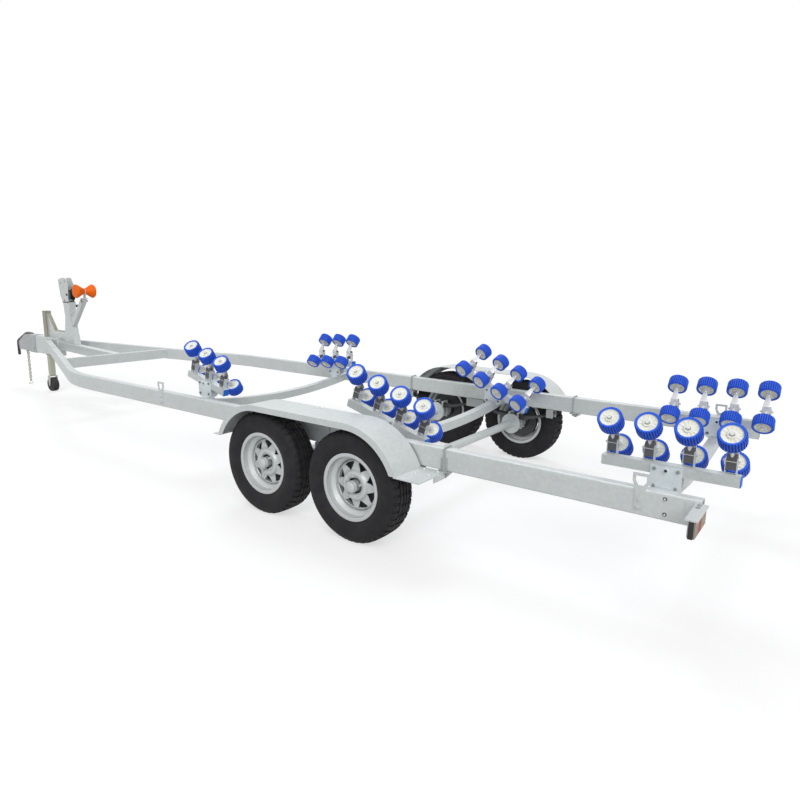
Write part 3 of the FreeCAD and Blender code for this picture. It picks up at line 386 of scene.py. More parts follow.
# %% Nuts, domes and directions
def hex_nut(across, height, stud_r=0.0, stud_h=0.0):
    """A chamfered hexagon on Z = 0, with a stud's end above it."""
    corner = across / math.sqrt(3)
    nut = solid([(corner * 0.98, 0), (corner, height * 0.1), (corner, height * 0.8),
                 (corner * 0.86, height)], 6)
    if stud_h:
        stud = [(stud_r, 0), (stud_r, height + stud_h - stud_r * 0.3), (stud_r * 0.7, height + stud_h)]
        nut = joined([nut, solid(stud, 10)])
    return nut


def dome(radius, height, count=20):
    """A low rounded head."""
    return solid([(radius, 0), (radius, height * 0.35), (radius * 0.86, height * 0.75),
                  (radius * 0.5, height)], count)


quarter = math.radians(90)


def pointing(axis, spot, spin=0.0):
    """A matrix that lays Z along an axis and moves the origin to a spot."""
    turn = Vector(axis).to_track_quat("Z", "Y").to_matrix().to_4x4()
    return Matrix.Translation(spot) @ turn @ Matrix.Rotation(spin, 4, "Z")


def both_ways(spot, out=0.0, spin=0.0):
    """The left and the right side of a spot, some way out, with Z pointing away from it."""
    return [pointing((0, way, 0), Vector(spot) + Vector((0, way * out, 0)), spin) for way in (1, -1)]


def across_at(piece, spot, way=1):
    """Lay a piece's Z across the trailer at a spot."""
    return placed(piece, pointing((0, way, 0), spot))


print("fixing helpers ready")

# %% [markdown]
# ## Effects that several finishes share
#
# Hot-dip galvanised steel has a faint crystal pattern, clouds where the zinc cooled at different speeds, and
# darker runs. The pattern could be painted, but a picture would stretch over each tube. Node groups read the
# position on the object instead, so the crystals are the same size everywhere, and each finish sets its own
# strength. The groups give out only masks and colours: the shader stays in the material.

# %% Tools for groups
def group(name, inputs):
    """A shader group, its inputs as outputs to wire from, and a way to wire its results."""
    made = bpy.data.node_groups.new(name, "ShaderNodeTree")
    for label, value in inputs.items():
        kind = "NodeSocketColor" if isinstance(value, tuple) else "NodeSocketFloat"
        made.interface.new_socket(name=label, in_out="INPUT", socket_type=kind).default_value = value
    for label, kind in (("Colour", "Color"), ("Roughness", "Float"), ("Height", "Float")):
        made.interface.new_socket(name=label, in_out="OUTPUT", socket_type="NodeSocket" + kind)
    given = made.nodes.new("NodeGroupInput").outputs
    out = made.nodes.new("NodeGroupOutput")

    def give(*sources):
        for socket, source in zip(out.inputs, sources):
            made.links.new(source, socket)
        print("group", name, "with", len(made.nodes), "nodes")
    return made, given, give


def noise(tree, place, scale, detail, roughness=0.5):
    """Soft noise over a place."""
    return add_node(tree, "TexNoise", {"Vector": place, "Scale": scale, "Detail": detail,
                                       "Roughness": roughness}).outputs[0]


def spread(tree, source, low, high, out_low=0.0, out_high=1.0):
    """Stretch one range of a value to another."""
    return add_node(tree, "MapRange", {0: source, 1: low, 2: high, 3: out_low, 4: out_high}).outputs[0]


def sums(tree):
    """Adding, taking away and multiplying in one tree."""
    def sum_of(operation):
        return lambda first, second: add_node(tree, "Math", {0: first, 1: second},
                                              operation=operation).outputs[0]
    return sum_of("ADD"), sum_of("SUBTRACT"), sum_of("MULTIPLY")


print("group helpers ready")

# %% Spangle, clouds and runs of galvanising
galvanising, given, give = group("galvanising", {"Colour": (0.6, 0.62, 0.64, 1), "Spangle": 0.08,
                                                 "Clouds": 0.14, "Crystal Scale": 70.0})
add, less, times = sums(galvanising)
place = add_node(galvanising, "TexCoord").outputs["Object"]
crystals = add_node(galvanising, "TexVoronoi", {"Vector": place, "Scale": given["Crystal Scale"]})
tone = add_node(galvanising, "SeparateColor", {0: crystals.outputs["Color"]}).outputs
clouds = noise(galvanising, place, 4.5, 5.0, 0.6)
stretch = add_node(galvanising, "Mapping", {"Scale": (9, 9, 42), "Vector": place})
runs = noise(galvanising, stretch.outputs[0], 1.0, 4.0, 0.65)
crystal_part = times(less(tone[0], 0.5), given["Spangle"])
cloud_part = times(less(add(clouds, times(runs, 0.6)), 0.8), given["Clouds"])
level = add(add(crystal_part, cloud_part), 1.0)
grey = add_node(galvanising, "CombineColor", {0: level, 1: level, 2: level})
tint = add_node(galvanising, "Mix", {0: 1.0, 6: given["Colour"], 7: grey.outputs[0]}, data_type="RGBA",
                blend_type="MULTIPLY")
give(tint.outputs[2], spread(galvanising, add(tone[1], clouds), 0.3, 1.5, 0.34, 0.52),
     add(clouds, times(tone[2], 0.2)))

# %% [markdown]
# Rubber and moulded plastic share another effect: a fine grain, and a little road dust that settles
# unevenly. One group with a dust colour and a dust amount serves the tyres, the blue rollers and every black
# part.

# %% Grain and dust
handled, given, give = group(
    "grain_and_dust", {"Colour": (0.1, 0.1, 0.1, 1), "Dust Colour": (0.4, 0.38, 0.34, 1), "Dust": 0.1,
                       "Grain Scale": 400.0, "Base Roughness": 0.6})
add, less, times = sums(handled)
place = add_node(handled, "TexCoord").outputs["Object"]
fine = noise(handled, place, given["Grain Scale"], 2.0)
dusty = times(spread(handled, noise(handled, place, 14.0, 6.0, 0.65), 0.42, 0.7), given["Dust"])
dust_mix = add_node(handled, "Mix", {0: dusty, 6: given["Colour"], 7: given["Dust Colour"]}, data_type="RGBA")
rougher = add(given["Base Roughness"], times(dusty, 0.5))
give(dust_mix.outputs[2], add(rougher, spread(handled, fine, 0.3, 0.7, -0.05, 0.05)), fine)

# %% [markdown]
# ## The finishes
#
# Two makers build all of them from the groups. Metal gets a plain metallic value on the shader's own socket,
# and colour, roughness and bump from the group. A galvanised rail isn't a mirror: its skin is a dull oxide,
# so it is only partly metallic.

# %% Two makers of finishes
def finish(name, effect, values, bump, bump_size, own):
    """A material on one effect group, with constants on the shader's own sockets."""
    material = bpy.data.materials.new(name)
    material.use_nodes = True
    tree = material.node_tree
    shader = tree.nodes["Principled BSDF"]
    made = tree.nodes.new("ShaderNodeGroup")
    made.node_tree = effect
    for sockets, wanted in ((shader.inputs, own), (made.inputs, values)):
        for label, value in wanted.items():
            sockets[label].default_value = value
    relief = add_node(tree, "Bump", {"Strength": bump, "Distance": bump_size,
                                     "Height": made.outputs["Height"]})
    for source, label in ((made.outputs["Colour"], "Base Color"), (made.outputs["Roughness"], "Roughness"),
                          (relief.outputs[0], "Normal")):
        tree.links.new(source, shader.inputs[label])


def metal(name, colour, spangle, clouds, scale, metallic=0.3, bump=0.12):
    """A galvanised, plated or painted steel."""
    values = {"Colour": (*colour, 1), "Spangle": spangle, "Clouds": clouds, "Crystal Scale": scale}
    finish(name, galvanising, values, bump, 0.0008, {"Metallic": metallic})


def moulded(name, colour, dust, rough, dust_colour=(0.42, 0.4, 0.37), grain=420, coat=0.0):
    """A rubber, a plastic, a woven strap or, with a coat, a lens."""
    values = {"Colour": (*colour, 1), "Dust Colour": (*dust_colour, 1), "Dust": dust, "Grain Scale": grain,
              "Base Roughness": rough}
    own = {"Specular IOR Level": 0.25}
    if coat:
        own.update({"Coat Weight": coat, "Coat Roughness": 0.1})
    finish(name, handled, values, 0.12, 0.0004, own)


print("finish makers ready")

# %% Make the finishes
metals = {  # colour, spangle, clouds, crystals per metre, metallic, bump
    "galvanised_steel": ((0.645, 0.68, 0.675), 0.08, 0.14, 70, 0.25),
    "galvanised_hanger": ((0.8, 0.86, 0.88), 0.08, 0.14, 70, 0.25),
    # a darker copy of the galvanised finish: painted shade for the hangers and clamps round the springs
    "galvanised_painted_shade": ((0.42, 0.44, 0.44), 0.05, 0.2, 160),
    "galvanised_sleeve": ((0.44, 0.47, 0.49), 0.06, 0.2, 110),
    "galvanised_wheel": ((0.62, 0.64, 0.64), 0.05, 0.1, 130),
    "cast_coupling": ((0.42, 0.43, 0.44), 0.04, 0.3, 240, 0.6, 0.3),
    "dark_handle": ((0.16, 0.155, 0.17), 0.03, 0.3, 240, 0.5),
    "black_winch_steel": ((0.03, 0.03, 0.032), 0.02, 0.2, 300, 0.2),
    "dark_spring_steel": ((0.07, 0.072, 0.078), 0.02, 0.3, 200),
    # near-black drum behind the wheels' windows: painted shade for the wheel's shadowed inside
    "drum_with_painted_shade": ((0.05, 0.052, 0.056), 0.02, 0.3, 200, 0.2),
    "zinc_plated_steel": ((0.5, 0.5, 0.46), 0.04, 0.2, 220, 0.7),
    "olive_zinc": ((0.33, 0.32, 0.25), 0.04, 0.25, 220, 0.55),
    "olive_leg": ((0.46, 0.47, 0.38), 0.04, 0.2, 220, 0.5),
    "dull_fastener": ((0.3, 0.31, 0.31), 0.03, 0.2, 300, 0.5),
    "bright_fastener": ((0.66, 0.67, 0.67), 0.02, 0.08, 300, 0.5),
    "yellow_zinc_bolt": ((0.62, 0.46, 0.14), 0.04, 0.2, 300, 0.8),
    "zinc_chain": ((0.55, 0.55, 0.47), 0.03, 0.15, 260, 0.6),
    "plated_bar": ((0.7, 0.71, 0.72), 0.03, 0.16, 260, 0.6)}
mouldings = {  # colour, dust, roughness, colour of the dust
    "blue_roller_rubber": ((0.035, 0.14, 0.82), 0.03, 0.45, (0.12, 0.24, 0.75)),
    # the groove blue is a darker copy of the tread blue: painted shade in the grooves
    "blue_roller_painted_groove_shade": ((0.017, 0.07, 0.47), 0.03, 0.6, (0.05, 0.1, 0.4)),
    "blue_beam_plug": ((0.01, 0.17, 0.75), 0.02, 0.4, (0.1, 0.25, 0.7)),
    "cream_disc": ((0.95, 0.955, 0.87), 0.03, 0.45, (0.68, 0.66, 0.52)),
    "orange_roller": ((1.0, 0.17, 0.0), 0.02, 0.5, (0.75, 0.2, 0.03)),
    "black_rubber": ((0.022, 0.022, 0.024), 0.06, 0.55),
    "grey_bush": ((0.13, 0.13, 0.138), 0.12, 0.6)}
for name, values in metals.items():
    metal(name, *values)
for name, values in mouldings.items():
    moulded(name, *values)
moulded("tyre_rubber", (0.016, 0.0155, 0.018), 0.03, 0.68, grain=500)
moulded("black_webbing", (0.014, 0.014, 0.016), 0.04, 0.8, grain=900)
for name, colour in (("pale_lens", (0.36, 0.29, 0.245)), ("red_lens", (0.36, 0.045, 0.018)),
                     ("amber_lens", (0.4, 0.31, 0.21))):
    moulded(name, colour, 0.02, 0.35, coat=0.15)
print(len(bpy.data.materials), "materials")

# %% [markdown]
# ## Finishes on the CAD nodes
#
# The rails, tubes and plates keep the shape that the CAD gave them, so they only need a finish. The record
# says which slot each node belongs to, and one table turns a slot into a finish.

# %% Dress the CAD nodes
slot_finish = {"galvanised": "galvanised_steel", "zinc": "zinc_plated_steel",
               "wheel_steel": "galvanised_wheel", "rod_steel": "plated_bar",
               "roller_blue": "blue_roller_rubber", "bow_orange": "orange_roller", "tyre": "tyre_rubber"}
for slot in ("black_rubber", "black_parts", "lamp"):
    slot_finish[slot] = "black_rubber"
# the spring hangers take the darker galvanised, painted shade of the dark region round the springs
own_finish = {"winch_frame": "galvanised_steel", "leaf_springs": "dark_spring_steel",
              "spring_hangers": "galvanised_painted_shade", "jack_leg": "olive_leg"}
for end in ("front", "middle", "rear"):
    own_finish["bank_hangers_" + end] = "galvanised_hanger"
slot_of = {part["node"]: part["material_slot"] for part in frame["record"]["subparts"]}
for node_name, node in sorted(nodes.items()):
    wanted = own_finish.get(node_name, slot_finish[slot_of[node_name]])
    node.data.materials.clear()
    node.data.materials.append(bpy.data.materials[wanted])
print("dressed", len(nodes), "nodes from", len(set(slot_of.values())), "slots")

# %% [markdown]
# ## Tyres
#
# A trailer tyre has a ribbed tread with straight grooves round it, shoulder lugs cut across, and a sidewall
# that bulges over the rim's flange. A torus would miss all of that. The outline is stacked as rings, the
# grooves are dips in the outline, and the lugs come from pushing every third column of the shoulder inwards.

# %% Model one tyre
tyre_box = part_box("tyre_front_left")
tyre_r = (tyre_box[1].z - tyre_box[0].z) / 2
tread = [(-0.0655, 0.0), (-0.0445, 0.0012), (-0.043, -0.008), (-0.0375, -0.008), (-0.036, 0.0016),
         (-0.0165, 0.0022), (-0.015, -0.008), (-0.0085, -0.008), (-0.007, 0.0025)]
side = [(0.1786, -0.0728), (0.1957, -0.0731), (0.2005, -0.078), (0.212, -0.0855), (0.228, -0.0912),
        (0.2295, -0.0926), (0.236, -0.0935), (0.2375, -0.0938), (0.252, -0.0944), (0.268, -0.0942),
        (0.27, -0.0926), (0.288, -0.0905), (0.3005, -0.0868), (0.3085, -0.0815), (0.3145, -0.0745)]
tyre_columns = 132
tyre = hoop(mirrored(side + [(tyre_r - 0.0025 + lift, y) for y, lift in tread]), tyre_columns)


def column_of(point, count):
    """Which of the columns round the axle a point lies in."""
    return int(math.floor(math.atan2(point.y, point.x) / (2 * math.pi) * count)) % count


lug_cuts = sunk(tyre, lambda middle, normal: 0.045 < abs(middle.z) < 0.084 and middle.xy.length > 0.304
                and column_of(middle, tyre_columns) % 3 == 0, 0.005)
sipes = sunk(tyre, lambda middle, normal: abs(middle.z) < 0.036 and middle.xy.length > 0.322
             and column_of(middle, tyre_columns) % 4 == 0, 0.003)
outward(tyre)
print("tyre", len(tyre.data.polygons), "faces,", lug_cuts, "lug cuts,", sipes, "sipes")

# %% Place the four tyres
wheel_labels = ("front_left", "front_right", "rear_left", "rear_right")
wheel_spots = {label: middle_of("tyre_" + label) for label in wheel_labels}
tyre_turn = 0.03


def outboard(label, spin=0.0):
    """A wheel's place, with Z pointing outboard."""
    return pointing((0, outer_of(label), 0), wheel_spots[label], spin)


for label in wheel_labels:
    finish_piece(another(tyre, outboard(label, tyre_turn)), "tyre_%s_rubber" % label, "tyre_rubber",
                 "wheel_%s_body" % label, "tyre_" + label, smooth=32)
drop(tyre)
print("tyres at", [tuple(round(v, 3) for v in spot) for spot in wheel_spots.values()])

# %% [markdown]
# ## Wheels
#
# The wheels are pressed steel, galvanised: a barrel with a well, rolled flanges, and a dished disc with
# eight rounded windows and a raised ring round its middle hole, where a bearing cap stands out of the dark
# hub. A drum sits behind the windows and the hub; its near-black colour is painted shade for the wheel's
# shadowed inside. The disc could be cut with booleans, which leave long thin faces. Here it is a sheet of
# rings: the faces of each window are deleted, then the sheet is given its thickness, so the rims of the
# windows are clean.

# %% The barrel
rim_half, rim_wall = 0.0775, 0.0045
barrel_side = [(0.195, -rim_half), (0.1953, -rim_half + 0.003), (0.1935, -rim_half + 0.0042),
               (0.183, -rim_half + 0.0045), (0.178, -rim_half + 0.006), (0.1778, -0.040), (0.1745, -0.036),
               (0.1565, -0.028), (0.154, -0.024)]
barrel_in = [(r - rim_wall, y) for r, y in reversed(barrel_side[4:])]  # without the rolled flange
barrel_in += [(0.1745, -rim_half + 0.001), (0.177, -rim_half - 0.0005), (0.186, -rim_half - 0.001),
              (0.195, -rim_half)]
barrel_back = [(r, -y) for r, y in reversed(barrel_in)][1:] + barrel_in[:-1]
barrel = hoop(mirrored(barrel_side) + barrel_back, 80)
print("barrel", len(barrel.data.polygons), "faces")

# %% The disc with its windows
disc_z, disc_columns, window_count = rim_half - 0.052, 96, 8
disc_rings = [(0.0465, 0.003), (0.050, 0.0095), (0.058, 0.014), (0.070, 0.0165), (0.079, 0.0155),
              (0.086, 0.008), (0.0905, 0.0005), (0.099, -0.003), (0.108, -0.004), (0.120, -0.005),
              (0.131, -0.006), (0.139, -0.008), (0.1455, -0.014), (0.1488, -0.026)]
disc = stack([(r, disc_z + dish) for r, dish in disc_rings], disc_columns)
window_half = {0.0948: 1, 0.1035: 2, 0.114: 3, 0.1255: 4, 0.135: 4}


def in_window(middle, normal):
    """Whether a face lies in one of the windows, which widen outwards."""
    ring = min(window_half, key=lambda r: abs(r - middle.xy.length))
    share = disc_columns / window_count
    turn = (column_of(middle, disc_columns) + 0.5) % share - share / 2
    return abs(ring - middle.xy.length) <= 0.006 and abs(turn) < window_half[ring] - 0.4


opened = pick(disc, in_window)
bpy.ops.mesh.delete(type="FACE")
modifier(disc, "SUBSURF", levels=1, render_levels=1)
modifier(disc, "SOLIDIFY", thickness=0.005, offset=-1)
print("disc", len(disc.data.polygons), "faces,", opened, "opened for the windows")

# %% Drum, bearing cap and nuts
# The drum behind the windows and the hub is coloured near-black as painted shade for the wheel's inside.
drum = solid([(0.074, -rim_half + 0.005), (0.076, -rim_half + 0.011), (0.076, -0.050), (0.1395, -0.044),
              (0.1415, -0.040), (0.1415, disc_z - 0.040), (0.137, disc_z - 0.036), (0.064, disc_z - 0.032),
              (0.062, disc_z - 0.012), (0.056, disc_z - 0.010)], 48)
cap_rings = [(0.0335, -0.011), (0.0335, 0.028), (0.0350, 0.030), (0.0350, 0.034), (0.0325, 0.036),
             (0.0315, 0.050), (0.024, 0.0565), (0.010, 0.058)]
wheel_parts = [barrel, disc, solid([(r, disc_z + up) for r, up in cap_rings], 36)]
stud_count, stud_circle_r = 5, 0.05715
for number in range(stud_count):
    angle = math.radians(number * 360 / stud_count + 90)
    spot = Vector((math.cos(angle), math.sin(angle), 0)) * stud_circle_r + Vector((0, 0, disc_z + 0.012))
    wheel_parts.append(placed(hex_nut(0.021, 0.015, 0.0062, 0.006), Matrix.Translation(spot)))
valve = solid([(0.0045, 0), (0.0045, 0.02), (0.0035, 0.022), (0.0035, 0.03)], 10)
wheel_parts.append(placed(valve, pointing((-0.35, -0.1, 0.9), (0.166, 0.03, 0.03))))
wheel = joined(wheel_parts)
print("wheel", len(wheel.data.polygons), "faces in one piece")

# %% Place the four wheels
front_turn = 0.35
for label in wheel_labels:
    body = "wheel_%s_body" % label
    turn = front_turn if label.startswith("front") else 0.0
    finish_piece(another(wheel, outboard(label, turn)), "wheel_%s_steel" % label, "galvanised_wheel", body,
                 "wheel_" + label, smooth=40)
    finish_piece(another(drum, outboard(label)), "brake_drum_" + label, "drum_with_painted_shade", body, smooth=35)
drop(wheel, drum)
print("wheels placed", len(wheel_spots))

# %% [markdown]
# ## The rollers
#
# Each roller is a blue rubber tread, ribbed across so that it grips the hull, moulded on a cream plastic
# disc with fine radial ribs, a boss and a nut. There are forty-four, so one roller is modelled with few
# faces and copied. The ribs come from pushing every other column of the tread inwards, and the faces down
# there get a darker blue, because little light reaches them.

# %% One tread
tread_columns = 60
tread_half = [(0.0450, -0.029), (0.0450, -0.0335), (0.0475, -0.0356), (0.0545, -0.036), (0.058, -0.0335),
              (0.0597, -0.028)]
roller_tread = hoop(mirrored(tread_half), tread_columns)
for name in ("blue_roller_rubber", "blue_roller_painted_groove_shade"):
    roller_tread.data.materials.append(bpy.data.materials[name])


def in_groove(middle, normal):
    """Every other column of the tread."""
    return middle.xy.length > 0.0555 and column_of(middle, tread_columns) % 2 == 0


# the groove faces take the darker blue, painted shade where little light reaches
pick(roller_tread, in_groove)
roller_tread.active_material_index = 1
bpy.ops.object.material_slot_assign()
ribs = sunk(roller_tread, in_groove, 0.005)
outward(roller_tread)
print("tread", len(roller_tread.data.polygons), "faces,", ribs // 3, "grooves")

# %% One disc with its ribs
disc_half = [(0.0452, -0.031), (0.0435, -0.031), (0.0425, -0.026), (0.0215, -0.0215), (0.0205, -0.029),
             (0.0195, -0.0325), (0.0118, -0.0325), (0.0112, -0.031)]
hub_columns = 36
roller_disc = hoop(mirrored(disc_half), hub_columns)
spokes = pick(roller_disc, lambda middle, normal: 0.025 < middle.xy.length < 0.040
              and column_of(middle, hub_columns) % 3 == 0)
bpy.ops.mesh.inset(thickness=0.0006, use_individual=True)
bpy.ops.mesh.extrude_region_shrink_fatten(TRANSFORM_OT_shrink_fatten={"value": 0.0028})
outward(roller_disc)
end_nut = placed(hex_nut(0.013, 0.0065, 0.0042, 0.0025), Matrix.Translation((0, 0, 0.0325)))
roller_end = joined([end_nut, solid([(0.0082, 0.0312), (0.0082, 0.0328)], 20)])
print("disc", len(roller_disc.data.polygons), "faces,", spokes, "ribs")

# %% [markdown]
# ## Banks of rollers
#
# A bank is a beam on a pivot with three or four rocking units. Each unit is a dark bush in a stirrup, with a
# bent bar that carries one roller outboard and one inboard. The bank's pivot and its parked pitch come from
# the frame's joints, and the tilt of the units from the photograph, so every roller sits where its CAD solid
# is.

# %% Where every unit sits
unit_pitch, bush_high, beam_half, rod_up, span = 0.174, 0.062, 0.025, 0.046, 0.254
bank_units = {"front": 3, "middle": 4, "rear": 4}
bank_tilts = {"front_left": 54.4, "front_right": 46.9, "middle_left": 47.2, "middle_right": 30.3,
              "rear_left": 41.4, "rear_right": 42.5}
joints = {joint["name"]: joint for joint in frame["joints"]}
pivots, beams, uprights, units = {}, {}, {}, {}
for label, tilt in bank_tilts.items():
    joint = joints["pitch_" + label]
    pivots[label] = Vector(joint["pos_m"])
    parked = -math.radians(sum(joint["range_deg"]) / 2)
    beams[label] = Matrix.Translation(pivots[label]) @ Matrix.Rotation(-parked, 4, "Y")
    number = bank_units[label.split("_")[0]]
    uprights[label] = [beams[label] @ Matrix.Translation(((i - (number - 1) / 2) * unit_pitch, 0,
                                                          beam_half + bush_high)) for i in range(number)]
    tilted = Matrix.Rotation(math.radians(tilt) * outer_of(label), 4, "X")
    units[label] = [upright @ tilted for upright in uprights[label]]
    print(label, "pitched", round(math.degrees(parked), 1), "with", number, "units")

# %% Place the rollers
for label, places in units.items():
    spots = []
    for place in places:
        for way in (1, -1):
            spots.append(place @ Matrix.Translation((0, way * span / 2, rod_up))
                         @ Matrix.Rotation(-quarter * way, 4, "X"))
    body = "bank_" + label
    treads, discs, ends = ([another(pattern, spot) for spot in spots]
                           for pattern in (roller_tread, roller_disc, roller_end))
    finish_piece(treads, "roller_treads_" + label, None, body, "rollers_" + label, smooth=40)
    finish_piece(discs, "roller_discs_" + label, "cream_disc", body, smooth=35)
    finish_piece(ends, "roller_nuts_" + label, "dull_fastener", body, smooth=35)
drop(roller_tread, roller_disc, roller_end)
print("rollers placed", 2 * sum(len(places) for places in units.values()))

# %% [markdown]
# ## Bent bars and plates
#
# Two more starts are useful from here on. A bent bar could be extruded and turned step by step, but a curve
# with a round section, made a mesh, keeps one thickness through every bend. A plate starts as a flat outline
# and is grown to its thickness, as if cut from sheet.

# %% Bars and plates
def bent_bar(guides, radius, sides=12, steps=5):
    """A round bar along a smooth line that keeps near its guide points."""
    settle()
    line = bpy.data.curves.new("line", "CURVE")
    line.dimensions, line.bevel_depth, line.bevel_resolution = "3D", radius, sides // 4 - 1
    line.use_fill_caps, line.resolution_u = True, steps
    run = line.splines.new("NURBS")
    run.points.add(len(guides) - 1)
    for point, guide in zip(run.points, guides):
        point.co = (*guide, 1)
    run.order_u, run.use_endpoint_u = 3, True
    made = bpy.data.objects.new("line", line)
    bpy.context.scene.collection.objects.link(made)
    hold(made)
    bpy.ops.object.convert(target="MESH")
    made = bpy.context.object
    outward(made)
    return made


def plate(outline, thickness, bevel=0.001):
    """A flat plate from its outline in X and Y, grown along Z."""
    settle()
    bpy.ops.mesh.primitive_circle_add(vertices=len(outline), radius=1, fill_type="NGON")
    piece = bpy.context.object
    for point, (along, up) in zip(piece.data.vertices, outline):
        point.co = (along, up, 0)
    pick(piece, everything)
    bpy.ops.mesh.extrude_region_move(TRANSFORM_OT_translate={"value": (0, 0, thickness)})
    outward(piece)
    if bevel:
        modifier(piece, "BEVEL", width=bevel, segments=2, limit_method="ANGLE")
    return piece


def side_on(y):
    """Stands a plate up: its outline lies in X and Z, its thickness runs from y towards the right."""
    return Matrix.Translation((0, y, 0)) @ Matrix.Rotation(quarter, 4, "X")


print("bar and plate helpers ready")

# %% [markdown]
# ## Rocking units
#
# Each unit is a pair of hard rubber halves in a stirrup, clamped on a strap by one long bolt, and a
# gull-wing bar that carries the rollers. The block stands upright on its beam while the bar tilts with the
# hull. The block is a cube whose shoulders are bevelled and whose faces are sunk a little, because moulded
# rubber never has a hard edge.

# %% One bush
bush_long, bush_wide = 0.042, 0.034


def bush_half(low, high, corner):
    """One rubber half, with rounded shoulders on the side away from the strap."""
    half = bar((bush_long, bush_wide, high - low), (0, 0, (low + high) / 2))
    far = low if abs(low) > abs(high) else high
    pick(half, lambda middle, run: abs(middle.z - far) < 1e-4 and abs(run.x) > 0.9, "EDGE")
    bpy.ops.mesh.bevel(offset=corner, segments=3, affect="EDGES")
    pick(half, lambda middle, normal: abs(normal.y) > 0.9)
    bpy.ops.mesh.inset(thickness=0.0045, depth=-0.0018)
    return modifier(half, "BEVEL", width=0.0007, segments=1, limit_method="ANGLE")


bush = joined([bush_half(-0.040, -0.0025, 0.004), bush_half(0.0025, 0.032, 0.009)])
strap = bar((0.050, 0.031, 0.005), (0, 0, 0), 0.001, 1)
bolt_ends = [pointing((way, 0, 0), (way * 0.0253, 0, 0)) for way in (1, -1)]
unit_metal = joined([strap] + copies(hex_nut(0.019, 0.008, 0.0058, 0.003), bolt_ends))
print("bush", len(bush.data.polygons), "faces, strap and nuts", len(unit_metal.data.polygons))

# %% One gull-wing bar
wing = [(0.170, rod_up), (0.098, rod_up), (0.084, rod_up), (0.071, 0.0395), (0.020, 0.0125)]
wing_line = [(0, y, z) for y, z in wing] + [(0, 0, 0.003)] + [(0, -y, z) for y, z in reversed(wing)]
gull_wing = bent_bar(wing_line, 0.0098)
collar = solid([(0.0145, 0.082), (0.0155, 0.083), (0.0155, 0.0897), (0.0145, 0.0907)], 20)
gull_wing = joined([gull_wing] + copies(collar, both_ways((0, 0, rod_up))))
print("gull-wing bar", len(gull_wing.data.polygons), "faces")

# %% The shoe on a unit's inner side
shoe_reach = 0.060
shoe_cover = bar((0.046, 0.004, 0.046), (0, 0, 0.011), 0.001, 1)
shoe_wing = plate([(-0.023, 0), (0.023, 0), (0.010, shoe_reach), (-0.010, shoe_reach)], 0.004)


def shoe_places(label):
    """Where the cover and the wing of a shoe stand, for a unit at the origin of its upright frame."""
    outer = outer_of(label)
    tilt = Matrix.Rotation(math.radians(bank_tilts[label]) * outer, 3, "X")
    start = Vector((0, -outer * 0.0195, 0.033))
    run = tilt @ Vector((0, outer * 0.080, 0.0535)) - start
    up = Vector((1, 0, 0)).cross(run.normalized())
    lean = Matrix((Vector((1, 0, 0)), run / shoe_reach, up)).transposed().to_4x4()
    return Matrix.Translation((0, start.y, 0)), Matrix.Translation(start) @ lean


print("shoe", len(shoe_cover.data.polygons) + len(shoe_wing.data.polygons), "faces")

# %% Place the rocking units
for label, places in units.items():
    body = "bank_" + label
    cover_at, wing_at = shoe_places(label)
    shoes = [another(shoe_cover, upright @ cover_at) for upright in uprights[label]]
    shoes += [another(shoe_wing, upright @ wing_at) for upright in uprights[label]]
    finish_piece([another(bush, upright) for upright in uprights[label]], "bush_blocks_" + label, "grey_bush",
                 body, "rockers_" + label)
    finish_piece([another(unit_metal, upright) for upright in uprights[label]], "bush_straps_" + label,
                 "bright_fastener", body)
    finish_piece([another(gull_wing, place) for place in places] + shoes, "gull_wing_bars_" + label,
                 "plated_bar", body, smooth=40)
drop(bush, unit_metal, gull_wing, shoe_cover, shoe_wing)
print("rocking units placed on", len(units), "beams")

# %% [markdown]
# ## Ends and fixings of the banks
#
# The beams are closed by blue plastic plugs at the rear, and each hanger plate has four bolts and a dark
# pivot. A plug is a thin block with a sunk face; the fixings are one nut and one cap, copied to every
# corner.

# %% Plugs in the beams' rear ends
beam_over = 0.044
plug = bar((0.0055, 0.049, 0.049), (-0.00175, 0, 0), 0.0018)
pick(plug, lambda middle, normal: normal.x < -0.95)
bpy.ops.mesh.inset(thickness=0.007, depth=-0.0012)
settle()
for label, beam in beams.items():
    end_at = (bank_units[label.split("_")[0]] - 1) / 2 * unit_pitch + beam_over
    finish_piece(another(plug, beam @ Matrix.Translation((-end_at, 0, 0))), "beam_plug_" + label,
                 "blue_beam_plug", "bank_" + label)
drop(plug)
print("plugs in", len(beams), "beams")

# %% Bolts and pivots of the hangers
cheek_out, bolt_out = 0.034, 0.043
corners, pivot_ends = [], []
for pivot in pivots.values():
    pivot_ends += both_ways(pivot, bolt_out)
    for along, up in ((0.053, 0.001), (-0.053, 0.001), (0.049, -0.080), (-0.049, -0.080)):
        corners += both_ways(pivot + Vector((along, 0, up)), cheek_out, 0.3 + along * 9)
finish_piece(copies(hex_nut(0.019, 0.007, 0.0056, 0.003), corners), "hanger_bolts", "dull_fastener")
pivot_cap = solid([(0.0074, -0.0005), (0.0074, 0.0006), (0.0066, 0.0012)], 20)
finish_piece(copies(pivot_cap, pivot_ends), "pivot_caps", "black_rubber")
print(len(corners), "hanger bolts,", len(pivot_ends), "pivot caps")

# %% [markdown]
# ## Bow roller
#
# The boat's stem settles in the waist of an orange roller shaped like a bow tie. The real one is two moulded
# cones on one pin, with shallow ribs that let water run off. One cone is stacked as rings, every fourth
# column is pressed in for the ribs, and its mirror image is the same piece turned round.

